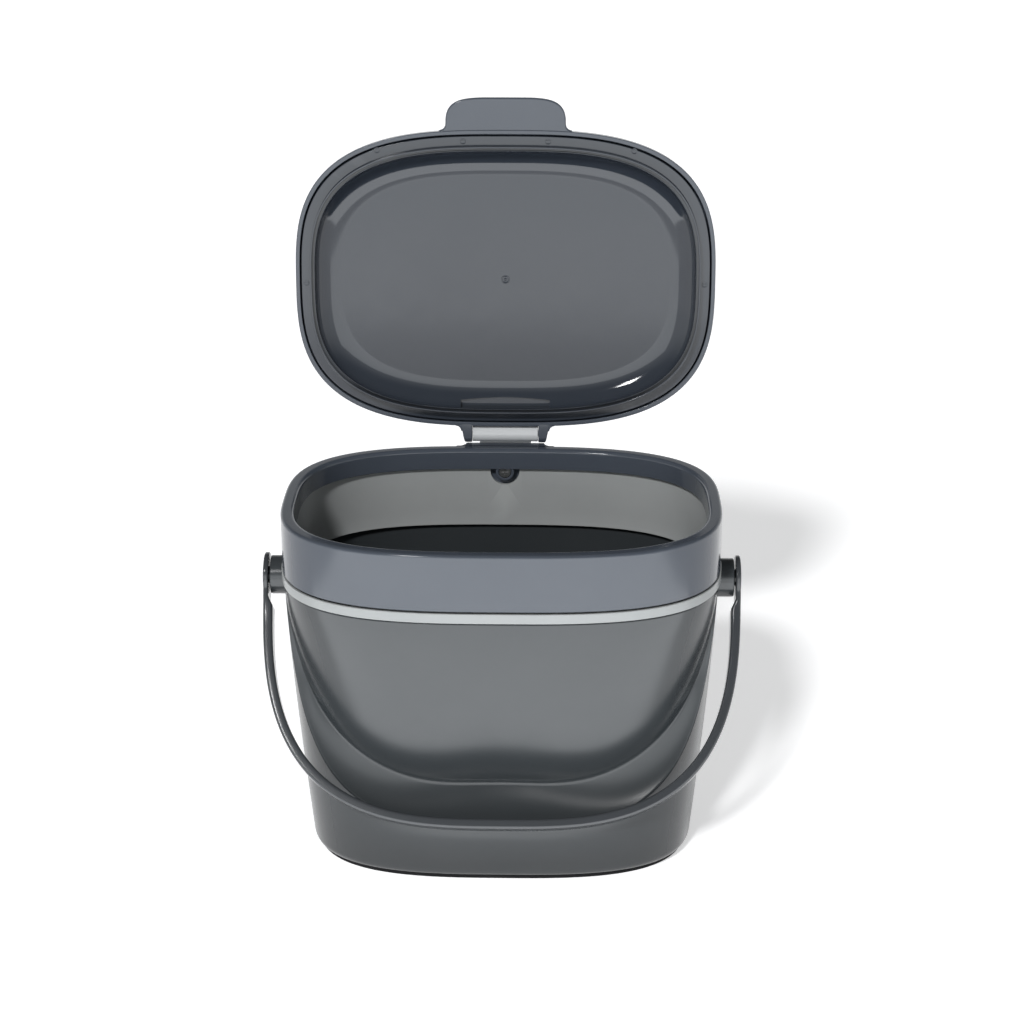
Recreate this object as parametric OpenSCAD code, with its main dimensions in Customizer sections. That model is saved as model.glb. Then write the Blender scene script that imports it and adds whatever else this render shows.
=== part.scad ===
// Compost caddy with a scooped bucket, a hinged lid and a swinging bail handle.
// Millimetres. The origin is the middle of the base, +Z is up and the front faces -Y.
// Every shell is a loft of rounded plan outlines; pins, bores and bosses are true cylinders.

/* [Rim] */
// Outside width of the rim, side to side
rim_w = 205; // [190:1:230]
// Outside depth of the rim, front to back
rim_d = 146; // [135:1:165]
// Height of the rim's top face above the table
rim_h = 170; // [155:1:200]
// Squareness of the plan outline, from an ellipse at 2 towards a rectangle
plan_power = 3; // [2.6:0.1:3.6]

/* [Collar] */
// Height of the collar's outer wall
collar_h = 27; // [22:0.5:34]
// Width of the collar's top face, outer wall to inner skirt
collar_top_w = 6.5; // [6:0.1:9]
// Thickness of the collar's outer wall and skirt
collar_wall = 2; // [1.6:0.1:2.4]
// Depth of the inner skirt below the rim's top face
skirt_h = 10.5; // [8:0.5:14]

/* [Trim ring and neck] */
// Height of the pale band that shows between collar and bucket
band_h = 4.8; // [3:0.1:8]
// How far the pale band stands proud of the collar
band_proud = 0.4; // [0:0.1:1]
// Thickness of the neck wall inside the collar
neck_wall = 1.6; // [1.2:0.1:2]
// Depth to which the neck plugs into the bucket's mouth
plug_h = 7.3; // [4:0.1:10]
// Radius of the half-round notch at the back of the neck
notch_r = 7.2; // [6:0.1:9]

/* [Bucket] */
// Width of the bucket at its base
base_w = 184; // [165:1:200]
// Depth of the bucket at its base
base_d = 122.6; // [110:1:135]
// Wall thickness
bucket_wall = 2.3; // [1.8:0.1:3]
// Floor thickness
floor_t = 2.6; // [2:0.1:4]
// Height of the scoop's lip above the table, at the middle of the front
lip_z = 31; // [24:1:40]
// Height of the sloping ledge above the lip
ledge_h = 15; // [10:1:20]
// Depth of the scoop at the ledge's inner crease
scoop_depth = 16.5; // [10:0.5:20]

/* [Foot] */
// Thickness of the rubber foot pad under the base
foot_h = 2; // [1.5:0.1:4]
// How far the foot pad is set in from the base's edge
foot_inset = 1.2; // [0.5:0.1:3]

/* [Lid] */
// Height of the lid from its skirt's edge to its shoulder
lid_h = 9.2; // [8:0.1:12]
// Rise of the lid's crown above its shoulder
lid_crown = 1.4; // [0.5:0.1:4]
// Thickness of the lid's outer skirt
lid_wall = 2; // [1.6:0.1:2.4]
// Gap between the closed lid and the rim
lid_gap = 0.8; // [0.4:0.1:1.5]
// Width of the flat land round the liner
land_w = 4.6; // [3:0.1:7]
// Thickness of the liner's sealing rib
rib_t = 0.9; // [0.7:0.1:1.5]
// Length of the rib below the lid's edge
rib_h = 5; // [3:0.5:7]
// Thickness of the liner
liner_t = 1.6; // [1.2:0.1:2]
// Depth of the liner's dish
dish_h = 4.2; // [3:0.1:5]
// Width of the front lifting tab at its root
tab_w = 58; // [40:1:70]
// Reach of the front lifting tab
tab_l = 15.4; // [10:0.5:20]
// Thickness of the front lifting tab
tab_t = 3; // [2:0.1:4]
// Angle past closed at which the lid rests open
lid_open = 95.9; // [90:0.1:105]

/* [Hinge] */
// Length of the pale barrel
barrel_l = 32.2; // [24:0.1:40]
// Radius of the barrel
barrel_r = 4; // [3.5:0.1:4.2]
// Height of the hinge axis above the rim's top face
hinge_rise = 4.8; // [4.6:0.1:6]
// Distance of the hinge axis behind the rim
hinge_back = 4.4; // [4.3:0.1:6]
// Radius of the steel hinge pin
pin_r = 1.5; // [1:0.1:2]
// Thickness of each of the lid's hinge arms at its tip
arm_t = 3.6; // [3:0.1:6]
// Extra thickness of each arm where it leaves the lid
arm_taper = 1.9; // [0:0.1:3]
// Running clearance of the pins in their bores
run_gap = 0.05; // [0.02:0.01:0.1]

/* [Handle] */
// Height of the handle's pivot above the table
pivot_z = 130.2; // [115:0.1:145]
// Radius of the round pivot bosses
boss_r = 9.2; // [7:0.1:11]
// How far each boss's end stands out past the rim
boss_proud = 7; // [3.5:0.5:17.5]
// Radius of the handle's pegs
peg_r = 4; // [3:0.1:5]
// Reach of the bail from its pivot to its outer edge
bail_reach = 120.5; // [110:0.5:135]
// Radial thickness of the strap
strap_t = 4.6; // [3.5:0.1:6]
// Width of the strap
strap_w = 11; // [8:0.5:14]
// Thickness of the flat eyes at the strap's ends
eye_t = 2.4; // [2:0.1:3]
// Radius of the eyes
eye_r = 10.6; // [9.6:0.1:13]
// Lean of the resting handle from straight down
handle_lean = 35.7; // [33:0.1:40]

/* [Hidden] */

// Columns round every loft and smoothness of the true round forms
cols = 64;
$fn = 64;

half_w = rim_w / 2;
boss_x = half_w + boss_proud;
half_d = rim_d / 2;

// Levels down from the rim
collar_z = rim_h - collar_h;
roll_out = 1.3;
roll_in = 2.2;
soft_edge = 0.4;
band_gap = 0.8;
seat_gap = 0.4;
band_top_z = collar_z - band_gap;
band_z = band_top_z - band_h;
mouth_z = band_z - seat_gap;
neck_gap = 0.4;
collar_roof_z = rim_h - collar_wall - neck_gap;
neck_top_z = collar_roof_z - 0.3;
band_edge = 0.5;
neck_lean = 0.6;
plug_lean = 1.2;
boss_gap = 0.4;
neck_in = collar_wall + 0.5;
plug_gap = 0.3;

// Bucket levels: under the floor, the top of the base's rounded edge and the floor inside
under_z = foot_h;
base_edge_h = 5;
base_edge_z = foot_h + base_edge_h;
floor_z = foot_h + floor_t;
floor_fillet = 9;
mouth_in = 0.7;
mouth_a = half_w - mouth_in;
mouth_b = half_d - mouth_in;
base_a = base_w / 2;
base_b = base_d / 2;
base_edge = 2.6;
// Bow of the bucket's sides: 1 is straight
side_bow = 1.32;
// The ledge's hollow, its extra wall and the drop of its inner side
ledge_hollow = 0.8;
ledge_wall = 1.15;
inner_drop = 0.3;
bore_floor = 0.6;

// The scoop's lip climbs round the front and dies out under the mouth at this angle from the front
lip_angle = 79;
lip_power = 5;
fade_angle = 84;
ledge_angle = 72;
scoop_run = 12;
// Spacing of the rows that run together where the scoop has died out
row_gap = 0.5;
ledge_rows = 3;
bowl_rows = 5;
side_rows = 4;

hinge_y = half_d + hinge_back;
hinge_z = rim_h + hinge_rise;
lid_z = rim_h + lid_gap;
lid_roof_t = 1.6;
lid_roof_z = lid_z + lid_h - lid_roof_t;
arm_gap = 0.35;
arm_x = barrel_l / 2 + arm_gap;
arm_l = hinge_back + 1;
knuckle_r = 4.2;
flare_r = 2.6;
pin_short = 0.2;
liner_in = lid_wall + lid_gap;
rib_in = liner_in + land_w;
// The liner's dish starts this far inside the rim; the shoulder lies lower by its drop
dish_in = 17;
dish_edge = 4;
shoulder_drop = 1.9;
post_r = 2.5;
post_in = 20.5;
pocket_w = 44;
pocket_back = 18.7;
pocket_bow = 1.2;
pocket_wall = 1.4;
// Ejector and gate marks that the mould leaves on the liner
mark_r = 1.4;
mark_deep = 0.15;
gate_r = 2;

// The tab's root fillets and the curves of its sides and nose
tab_fillet = 3;
tab_sink = 0.8;
tab_root = 1.6;
tab_lift = 0.6;
tab_side_power = 0.42;
tab_nose_power = 0.72;
tab_steps = 24;

hump_w = 49.2;
hump_t = hinge_back;
hump_h = 19;
hump_root = 0.8;
hump_slope = 5;
hump_soft = 1;
leg_w = 25.6;
leg_t = 2.5;
leg_h = 18;
leg_round = 4;
screw_down = 12;
screw_z = rim_h - screw_down;
screw_r = 1.5;
screw_head_r = 2.9;
screw_head_t = 2;
screw_boss_r = 4.6;
screw_play = 0.1;
head_play = 0.3;
recess_l = 3.4;
recess_w = 0.7;
recess_deep = 1.6;

bail_power = 3;
eye_gap = 0.7;
eye_x = boss_x + eye_gap;
bail_half = eye_x + eye_t;
bail_cols = 52;
bail_start = 2;
edge_r = 0.96;
peg_gap = 1.4;
// The strap steps up from the eye's thickness over this length, and its width flares into the eye
step_z = 12;
step_l = 5;
flare_l = 24;
flare_share = 0.75;

// Plan outline: distance from the middle to a rounded outline of half sizes a and b, at an angle
function reach(a, b, angle) =
    pow(pow(abs(cos(angle)) / a, plan_power) + pow(abs(sin(angle)) / b, plan_power), -1 / plan_power);
// Angles of the loft's columns, closer together at the corners
function root(v) = sign(v) * pow(abs(v), 2 / plan_power);
function col_angle(i) = atan2(half_d * root(sin(360 * i / cols)), half_w * root(cos(360 * i / cols)));
function plan_point(a, b, z, angle) =
    let (r = reach(a, b, angle)) [r * cos(angle), r * sin(angle), z];
// One closed outline of the loft, set in from the rim's outline
function inset_ring(inset, z) =
    [for (i = [0 : cols - 1]) plan_point(half_w - inset, half_d - inset, z, col_angle(i))];
// One closed outline of given half sizes
function size_ring(a, b, z) = [for (i = [0 : cols - 1]) plan_point(a, b, z, col_angle(i))];

// Faces between outlines of n points each, from outline 0 to outline m - 1, and round again if closed
function skin(m, n, closed) =
    [for (k = [0 : m - (closed ? 1 : 2)], i = [0 : n - 1])
        let (u = (k + 1) % m, j = (i + 1) % n)
            each [[k * n + i, u * n + i, u * n + j], [k * n + i, u * n + j, k * n + j]]];
// Fans that close the first and the last outline
function caps(m, n) = [[for (i = [0 : n - 1]) i], [for (i = [n - 1 : -1 : 0]) (m - 1) * n + i]];

// A solid whose section is a closed chain of outlines, such as a ring
module ring_solid(rings) {
    polyhedron(points = [for (r = rings) each r], faces = skin(len(rings), len(rings[0]), true));
}

// A solid whose chain of outlines starts and ends on a flat cap, such as a cup or a strap
module capped_solid(rings) {
    m = len(rings);
    n = len(rings[0]);
    polyhedron(points = [for (r = rings) each r], faces = concat(skin(m, n, false), caps(m, n)));
}

// Bucket: half sizes of the plain envelope at a height
function rise(z) =
    let (u = min(1, max(0, (z - base_edge_z) / (mouth_z - base_edge_z)))) 1 - pow(1 - u, side_bow);
function env_a(z) = base_a + (mouth_a - base_a) * rise(z);
function env_b(z) = base_b + (mouth_b - base_b) * rise(z);
// Angle of a column from the middle of the front, 0 to 180
function from_front(angle) =
    let (d = abs(((angle + 90) % 360 + 360) % 360)) d > 180 ? 360 - d : d;
// Height of the scoop's lip and of the crease at the back of its ledge
lip_max = mouth_z - row_gap * (ledge_rows + bowl_rows);
function lip_height(t) =
    min(lip_max, lip_z + (mouth_z - lip_z) * pow(min(1, t / lip_angle), lip_power));
function crease_height(t) =
    min(mouth_z - row_gap * bowl_rows,
        lip_height(t) + max(row_gap * ledge_rows, ledge_h * (1 - pow(min(1, t / ledge_angle), 8))));
// How far the scooped front lies inside the envelope
scoop_top = mouth_z - lip_z - ledge_h;
function scoop_curve(h) = h * h / (h + scoop_run);
function scoop(t, z) =
    scoop_depth * scoop_curve(max(0, mouth_z - z)) / scoop_curve(scoop_top)
    * (t < fade_angle ? 1 - pow(t / fade_angle, 5) : 0);

// A point of the bucket's skin: angle, height, how much of the scoop it takes and the wall it is set in by
function bucket_point(angle, z, share, wall, drop) =
    let (r = reach(env_a(z), env_b(z), angle) - share * scoop(from_front(angle), z) - wall)
        [r * cos(angle), r * sin(angle), z - drop];
// One row of the bucket's side, from the base's edge up to the mouth
function side_row(k, wall, low_z) =
    [for (i = [0 : cols - 1])
        let (angle = col_angle(i),
             t = from_front(angle),
             lip = lip_height(t),
             crease = crease_height(t))
            k <= side_rows
                ? let (f = k / side_rows)
                    bucket_point(angle, low_z + (lip - low_z) * f, 0, wall, wall * inner_drop * f)
                : k <= side_rows + ledge_rows
                    ? let (f = (k - side_rows) / ledge_rows)
                        bucket_point(angle, lip + (crease - lip) * f, pow(f, ledge_hollow), wall * ledge_wall,
                            wall * inner_drop * (1 - f))
                    : let (f = (k - side_rows - ledge_rows) / bowl_rows)
                        bucket_point(angle, crease + (mouth_z - crease) * f, 1, wall, 0)];

module bucket_shell() {
    rows = side_rows + ledge_rows + bowl_rows;
    inner_low = floor_z + floor_fillet;
    capped_solid(concat(
        [size_ring(base_a - base_edge, base_b - base_edge, under_z),
         size_ring(base_a - base_edge * 0.35, base_b - base_edge * 0.35, under_z + 1.4),
         size_ring(base_a, base_b, base_edge_z)],
        [for (k = [1 : rows]) side_row(k, 0, base_edge_z)],
        [for (k = [rows : -1 : 0]) side_row(k, bucket_wall, inner_low)],
        [for (q = [0.34, 0.72, 1])
            let (a = env_a(inner_low) - bucket_wall,
                 b = env_b(inner_low) - bucket_wall,
                 pull = floor_fillet * (1 - cos(90 * q)),
                 z = floor_z + floor_fillet * (1 - sin(90 * q)))
                size_ring(a - pull, b - pull, z)]));
}

// Both pivots are drawn by one child, mirrored
module both_sides() {
    for (s = [0, 1]) {
        mirror([s, 0, 0]) children();
    }
}

module pivot_boss() {
    root_x = env_a(pivot_z) - bucket_wall / 2;
    translate([root_x, 0, pivot_z]) rotate([0, 90, 0]) cylinder(r = boss_r, h = boss_x - root_x);
}

module peg_bore() {
    bore_x = env_a(pivot_z) + bore_floor;
    translate([bore_x, 0, pivot_z]) rotate([0, 90, 0]) cylinder(r = peg_r + run_gap, h = boss_x - bore_x + 1);
}

module bucket() {
    color("#5b5f61") difference() {
        union() {
            bucket_shell();
            both_sides() pivot_boss();
        }
        both_sides() peg_bore();
    }
}

module foot_pad() {
    a = base_a - base_edge - foot_inset;
    b = base_b - base_edge - foot_inset;
    color("#26282b") capped_solid([
        size_ring(a - soft_edge, b - soft_edge, 0),
        size_ring(a, b, soft_edge),
        size_ring(a, b, foot_h)]);
}

module band_and_neck() {
    plug_top_in = mouth_in + bucket_wall + plug_gap;
    plug_low_in = plug_top_in + plug_lean;
    neck_back = neck_in + neck_wall;
    ring_solid([
        inset_ring(plug_low_in + neck_wall, mouth_z - plug_h),
        inset_ring(plug_low_in, mouth_z - plug_h),
        inset_ring(plug_top_in, band_z),
        inset_ring(band_edge - band_proud, band_z),
        inset_ring(-band_proud, band_z + band_edge),
        inset_ring(-band_proud, band_top_z - band_edge),
        inset_ring(band_edge - band_proud, band_top_z),
        inset_ring(neck_in, band_top_z),
        inset_ring(neck_in, neck_top_z - soft_edge),
        inset_ring(neck_in + soft_edge, neck_top_z),
        inset_ring(neck_back, neck_top_z),
        inset_ring(neck_back + neck_lean, mouth_z)]);
}

module trim_ring() {
    color("#c5c9cc") difference() {
        band_and_neck();
        translate([0, half_d, screw_z]) rotate([90, 0, 0]) cylinder(r = notch_r, h = 30, center = true);
        translate([-notch_r, half_d - 15, screw_z]) cube([notch_r * 2, 30, rim_h - screw_z]);
        both_sides() translate([half_w - 3, 0, pivot_z])
            rotate([0, 90, 0]) cylinder(r = boss_r + boss_gap, h = boss_r);
    }
}

module collar_ring() {
    skirt_in = collar_top_w;
    ring_solid([
        inset_ring(collar_wall, collar_z),
        inset_ring(soft_edge, collar_z),
        inset_ring(0, collar_z + soft_edge),
        inset_ring(0, rim_h - roll_out),
        inset_ring(roll_out * 0.3, rim_h - roll_out * 0.3),
        inset_ring(roll_out, rim_h),
        inset_ring(skirt_in - roll_in, rim_h),
        inset_ring(skirt_in - roll_in * 0.35, rim_h - roll_in * 0.25),
        inset_ring(skirt_in - roll_in * 0.05, rim_h - roll_in * 0.9),
        inset_ring(skirt_in, rim_h - skirt_h + soft_edge),
        inset_ring(skirt_in - soft_edge, rim_h - skirt_h),
        inset_ring(skirt_in - collar_wall, rim_h - skirt_h),
        inset_ring(skirt_in - collar_wall, collar_roof_z),
        inset_ring(collar_wall, collar_roof_z)]);
}

// Plan of the hinge hump: straight back edge with a hollow flare at each end
module hump_plan(w, d) {
    right = [for (q = [0 : 15 : 90]) [w / 2 - d * sin(q), d - d * cos(q)]];
    left = [for (q = [90 : -15 : 0]) [-w / 2 + d * sin(q), d - d * cos(q)]];
    polygon(concat([[w / 2, -hump_root]], right, left, [[-w / 2, -hump_root]]));
}

module hinge_hump() {
    seat_y = half_d - hump_root / 2;
    root = 8;
    back = root + hump_t;
    intersection() {
        translate([0, seat_y, rim_h - hump_h]) linear_extrude(hump_h)
            hump_plan(hump_w, hump_t + half_d - seat_y);
        translate([-hump_w, half_d - root, rim_h - hump_h]) rotate([90, 0, 90]) linear_extrude(hump_w * 2)
            polygon([[0, 0], [root, 0], [back, hump_slope], [back, hump_h - hump_soft],
                     [back - hump_soft, hump_h], [0, hump_h]]);
    }
}

// Where the screw's head side of the boss ends, inside the collar
screw_boss_y = half_d - collar_top_w + 0.3;

module collar() {
    root_y = half_d - 1;
    color("#7b7f85") difference() {
        union() {
            collar_ring();
            hinge_hump();
            translate([0, root_y, screw_z]) rotate([90, 0, 0])
                cylinder(r = screw_boss_r, h = root_y - screw_boss_y);
        }
        translate([0, rim_d, screw_z]) rotate([90, 0, 0]) cylinder(r = screw_r + screw_play, h = rim_d);
        translate([0, screw_boss_y + screw_head_t, screw_z]) rotate([90, 0, 0])
            cylinder(r = screw_head_r + head_play, h = half_d);
    }
}

// Moves a piece drawn lying along X through the origin on to the hinge axis
module on_hinge() {
    translate([0, hinge_y, hinge_z]) rotate([0, 90, 0]) children();
}

module leg_plate() {
    low_z = rim_h - leg_h;
    translate([-leg_w / 2, low_z + leg_round]) square([leg_w, leg_h - leg_round + hinge_rise]);
    translate([leg_round - leg_w / 2, low_z]) square([leg_w - 2 * leg_round, 2 * leg_round]);
    for (side = [-1, 1]) {
        translate([side * (leg_w / 2 - leg_round), low_z + leg_round]) circle(r = leg_round);
    }
}

module hinge_bracket() {
    color("#bfc3c6") difference() {
        union() {
            on_hinge() cylinder(r = barrel_r, h = barrel_l, center = true);
            translate([0, hinge_y + leg_t, 0]) rotate([90, 0, 0]) linear_extrude(leg_t) leg_plate();
        }
        on_hinge() cylinder(r = pin_r + run_gap, h = 2 * barrel_l, center = true);
        translate([0, hinge_y + 2 * leg_t, screw_z]) rotate([90, 0, 0])
            cylinder(r = screw_r + run_gap, h = 3 * leg_t);
    }
}

module hinge_screw() {
    head_y = screw_boss_y + screw_head_t;
    head_t = screw_head_t - 0.2;
    color("#8a8d90") difference() {
        translate([0, head_y, screw_z]) rotate([-90, 0, 0]) {
            cylinder(r = screw_r, h = hinge_y + leg_t - head_y - 0.3);
            translate([0, 0, -head_t]) cylinder(r = screw_head_r, h = head_t);
        }
        translate([0, head_y - head_t, screw_z]) for (turn = [0, 90]) {
            rotate([0, turn, 0]) cube([recess_l, recess_deep, recess_w], center = true);
        }
    }
}

module hinge_pin() {
    color("#b4b6b8") on_hinge() cylinder(r = pin_r, h = 2 * (arm_x + arm_t - pin_short), center = true);
}

// Swings a piece drawn on the closed lid to where the lid rests open
module swing_lid() {
    translate([0, hinge_y, hinge_z]) rotate([-lid_open, 0, 0]) translate([0, -hinge_y, -hinge_z]) children();
}

module lid_cup() {
    top_z = lid_z + lid_h;
    capped_solid([
        inset_ring(lid_wall + 1.2, lid_roof_z),
        inset_ring(lid_wall, lid_roof_z - 1.2),
        inset_ring(lid_wall, lid_z + 0.3),
        inset_ring(lid_wall - 0.3, lid_z),
        inset_ring(0.3, lid_z),
        inset_ring(0, lid_z + 0.3),
        inset_ring(0, top_z - 3.4),
        inset_ring(0.6, top_z - 1.7),
        inset_ring(2.2, top_z - 0.5),
        inset_ring(5, top_z),
        inset_ring(20, top_z + lid_crown * 0.5),
        inset_ring(45, top_z + lid_crown)]);
}

module tab_plan() {
    half = tab_w / 2;
    fillet = [for (q = [0 : 15 : 90])
        [half + tab_fillet * (1 - sin(q)), tab_sink - (tab_fillet + tab_sink) * (1 - cos(q))]];
    nose = [for (i = [1 : tab_steps - 1])
        let (q = 180 * i / tab_steps)
            [half * sign(cos(q)) * pow(abs(cos(q)), tab_side_power),
             -tab_fillet - (tab_l - tab_fillet) * pow(sin(q), tab_nose_power)]];
    polygon(concat([[half + tab_fillet, tab_root]], fillet, nose,
                   [for (i = [len(fillet) - 1 : -1 : 0]) [-fillet[i][0], fillet[i][1]]],
                   [[-half - tab_fillet, tab_root]]));
}

// Side view of a hinge arm: a round knuckle on a web
module arm_side() {
    translate([hinge_y, hinge_z]) circle(r = knuckle_r);
    translate([hinge_y - arm_l, lid_z]) square([hinge_back, hinge_z + knuckle_r - lid_z]);
}

// Plan of the right arm: straight inside, tapered outside and flared into the lid
module arm_plan() {
    root_y = half_d + flare_r - 1;
    tip_y = hinge_y + knuckle_r + 1;
    polygon(concat(
        [[arm_x, half_d - 3], [arm_x, tip_y], [arm_x + arm_t, tip_y]],
        [for (q = [0 : 15 : 90])
            [arm_x + arm_t + arm_taper + flare_r * (1 - cos(q)), root_y - flare_r * sin(q)]],
        [[arm_x + arm_t + arm_taper + flare_r, half_d - 3]]));
}

module lid_arm() {
    intersection() {
        translate([arm_x, 0, 0]) rotate([90, 0, 90]) linear_extrude(arm_t + arm_taper + flare_r) arm_side();
        translate([0, 0, lid_z]) linear_extrude(2 * lid_h) arm_plan();
    }
}

module lid_shell() {
    color("#6a6d73") swing_lid() difference() {
        union() {
            lid_cup();
            translate([0, -half_d, lid_z + tab_lift]) linear_extrude(tab_t) tab_plan();
            both_sides() lid_arm();
        }
        on_hinge() cylinder(r = pin_r + run_gap, h = rim_w, center = true);
    }
}

dish_z = lid_z + dish_h;

module liner_pan() {
    rib_out = rib_in + rib_t;
    capped_solid([
        inset_ring(dish_in, dish_z),
        inset_ring(dish_in - dish_edge, dish_z - shoulder_drop / 4),
        inset_ring(rib_out + shoulder_drop, dish_z - shoulder_drop),
        inset_ring(rib_out, lid_z + soft_edge),
        inset_ring(rib_out, lid_z - rib_h + soft_edge),
        inset_ring(rib_out - rib_t / 3, lid_z - rib_h),
        inset_ring(rib_in + rib_t / 4, lid_z - rib_h),
        inset_ring(rib_in, lid_z - rib_h + soft_edge),
        inset_ring(rib_in, lid_z),
        inset_ring(liner_in + soft_edge, lid_z),
        inset_ring(liner_in, lid_z + soft_edge),
        inset_ring(liner_in, lid_z + liner_t),
        inset_ring(rib_out - rib_t / 2, lid_z + liner_t),
        inset_ring(rib_out + shoulder_drop / 2, dish_z - shoulder_drop + liner_t),
        inset_ring(dish_in - dish_edge, dish_z - shoulder_drop / 4 + liner_t),
        inset_ring(dish_in, dish_z + liner_t)]);
}

// Weld posts that carry the liner under the lid's roof
module liner_posts() {
    low_z = dish_z + liner_t / 2;
    for (turn = [0 : 45 : 315]) {
        p = plan_point(half_w - post_in, half_d - post_in, low_z, turn);
        translate(p) cylinder(r = post_r, h = lid_roof_z - low_z);
    }
}

module pocket_plan(w, d) {
    steps = 8;
    polygon(concat(
        [[w / 2, d], [-w / 2, d]],
        [for (i = [0 : steps]) [w * (i / steps - 0.5), pocket_bow * pow(2 * i / steps - 1, 2)]]));
}

// Round marks of the mould's ejectors on the land, and of its gate in the middle of the dish
module mould_marks() {
    land = rib_in - land_w / 2;
    for (x = [-1, 1]) {
        translate([x * (half_w - land), 0, lid_z - 1]) cylinder(r = mark_r, h = 1 + mark_deep);
        for (angle = [-73, -47]) {
            p = plan_point(half_w - land, half_d - land, lid_z, angle);
            translate([x * p[0], p[1], lid_z - 1]) cylinder(r = mark_r, h = 1 + mark_deep);
        }
    }
    translate([0, 0, dish_z - 1]) cylinder(r = gate_r, h = 1 + mark_deep);
}

module lid_liner() {
    pocket_y = hinge_y - pocket_back;
    depth = half_d - rib_in - rib_t - pocket_y;
    color("#66696f") swing_lid() difference() {
        union() {
            liner_pan();
            liner_posts();
            translate([0, pocket_y - pocket_wall, dish_z]) linear_extrude(lid_roof_z - dish_z)
                pocket_plan(pocket_w + 2 * pocket_wall, depth + pocket_wall / 2);
        }
        translate([0, pocket_y, lid_z - 1]) linear_extrude(dish_h + 1 + liner_t)
            pocket_plan(pocket_w, depth - liner_t);
        mould_marks();
    }
}

// The bail is drawn hanging straight down in the XZ plane from an axis through the origin
function bail_out(angle) =
    pow(pow(abs(cos(angle)) / bail_half, bail_power) + pow(abs(sin(angle)) / bail_reach, bail_power),
        -1 / bail_power);
// Thickness and width of the strap at a depth below the pivot
function strap_thick(s) = eye_t + (strap_t - eye_t) * min(1, max(0, (s - step_z) / step_l));
function strap_wide(s) = 
    strap_w + (s < flare_l ? (2 * eye_r - strap_w) * flare_share * pow(1 - s / flare_l, 2) : 0);

// Section of the strap at an angle: outer face, rounded edges and inner face
function strap_ring(angle) =
    let (out = bail_out(angle),
         s = out * sin(angle),
         t = strap_thick(s) / (s < step_z + step_l ? abs(cos(angle)) : 1),
         w = strap_wide(s) / 2,
         e = edge_r)
        [for (p = [[out - e, -w], [out, e - w], [out, w - e], [out - e, w],
                   [out - t + e, w], [out - t, w - e], [out - t, e - w], [out - t + e, -w]])
            [p[0] * cos(angle), p[1], -p[0] * sin(angle)]];

module handle_bail() {
    span = 180 - 2 * bail_start;
    capped_solid([for (i = [bail_cols : -1 : 0]) strap_ring(bail_start + span * i / bail_cols)]);
}

module handle() {
    peg_x = env_a(pivot_z) + peg_gap;
    color("#54585e") translate([0, 0, pivot_z]) rotate([-handle_lean, 0, 0]) {
        handle_bail();
        both_sides() {
            translate([eye_x, 0, 0]) rotate([0, 90, 0]) cylinder(r = eye_r, h = eye_t);
            translate([peg_x, 0, 0]) rotate([0, 90, 0]) cylinder(r = peg_r, h = eye_x + eye_t / 2 - peg_x);
        }
    }
}

bucket();
foot_pad();
trim_ring();
collar();
hinge_bracket();
hinge_screw();
hinge_pin();
lid_shell();
lid_liner();
handle();
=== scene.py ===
"""A small kitchen compost caddy: scooped bucket, pale trim ring, dark rim, hinged lid and bail handle.

Sizes in the classes are millimetres. The origin is the middle of the base, +Z is up and the front faces -Y.
Each mesh is grown with bmesh operators and brought to metres when it is finished.
"""

import logging
import math
from dataclasses import dataclass, field
from enum import Enum
from typing import Callable, ClassVar, Iterable, Sequence

import bmesh
import bpy
from mathutils import Matrix, Vector


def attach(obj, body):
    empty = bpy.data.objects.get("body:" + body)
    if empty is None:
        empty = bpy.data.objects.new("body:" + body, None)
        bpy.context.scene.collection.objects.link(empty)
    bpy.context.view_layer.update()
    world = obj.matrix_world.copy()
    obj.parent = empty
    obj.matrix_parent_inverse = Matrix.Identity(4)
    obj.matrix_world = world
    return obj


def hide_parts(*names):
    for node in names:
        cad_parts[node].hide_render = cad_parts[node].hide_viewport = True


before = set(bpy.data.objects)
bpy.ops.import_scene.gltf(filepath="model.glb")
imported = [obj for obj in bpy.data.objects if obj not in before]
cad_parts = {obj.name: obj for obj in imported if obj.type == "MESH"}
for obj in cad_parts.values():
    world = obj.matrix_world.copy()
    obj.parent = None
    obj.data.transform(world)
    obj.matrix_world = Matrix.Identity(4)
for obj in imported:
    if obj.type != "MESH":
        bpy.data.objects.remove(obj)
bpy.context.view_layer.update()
MM = 0.001
MERGE = 1e-5
LOG = logging.getLogger("caddy")

Ring = list[Vector]
Track = list[tuple[float, float]]


class Body(Enum):
    """The rigid bodies that the pieces ride on."""

    CADDY = "caddy"
    LID = "lid"
    BAIL = "bail"


class Cut(Enum):
    """How one mesh is worked with another."""

    TAKE_AWAY = "DIFFERENCE"
    ADD = "UNION"


# Plan outline and profiles


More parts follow.
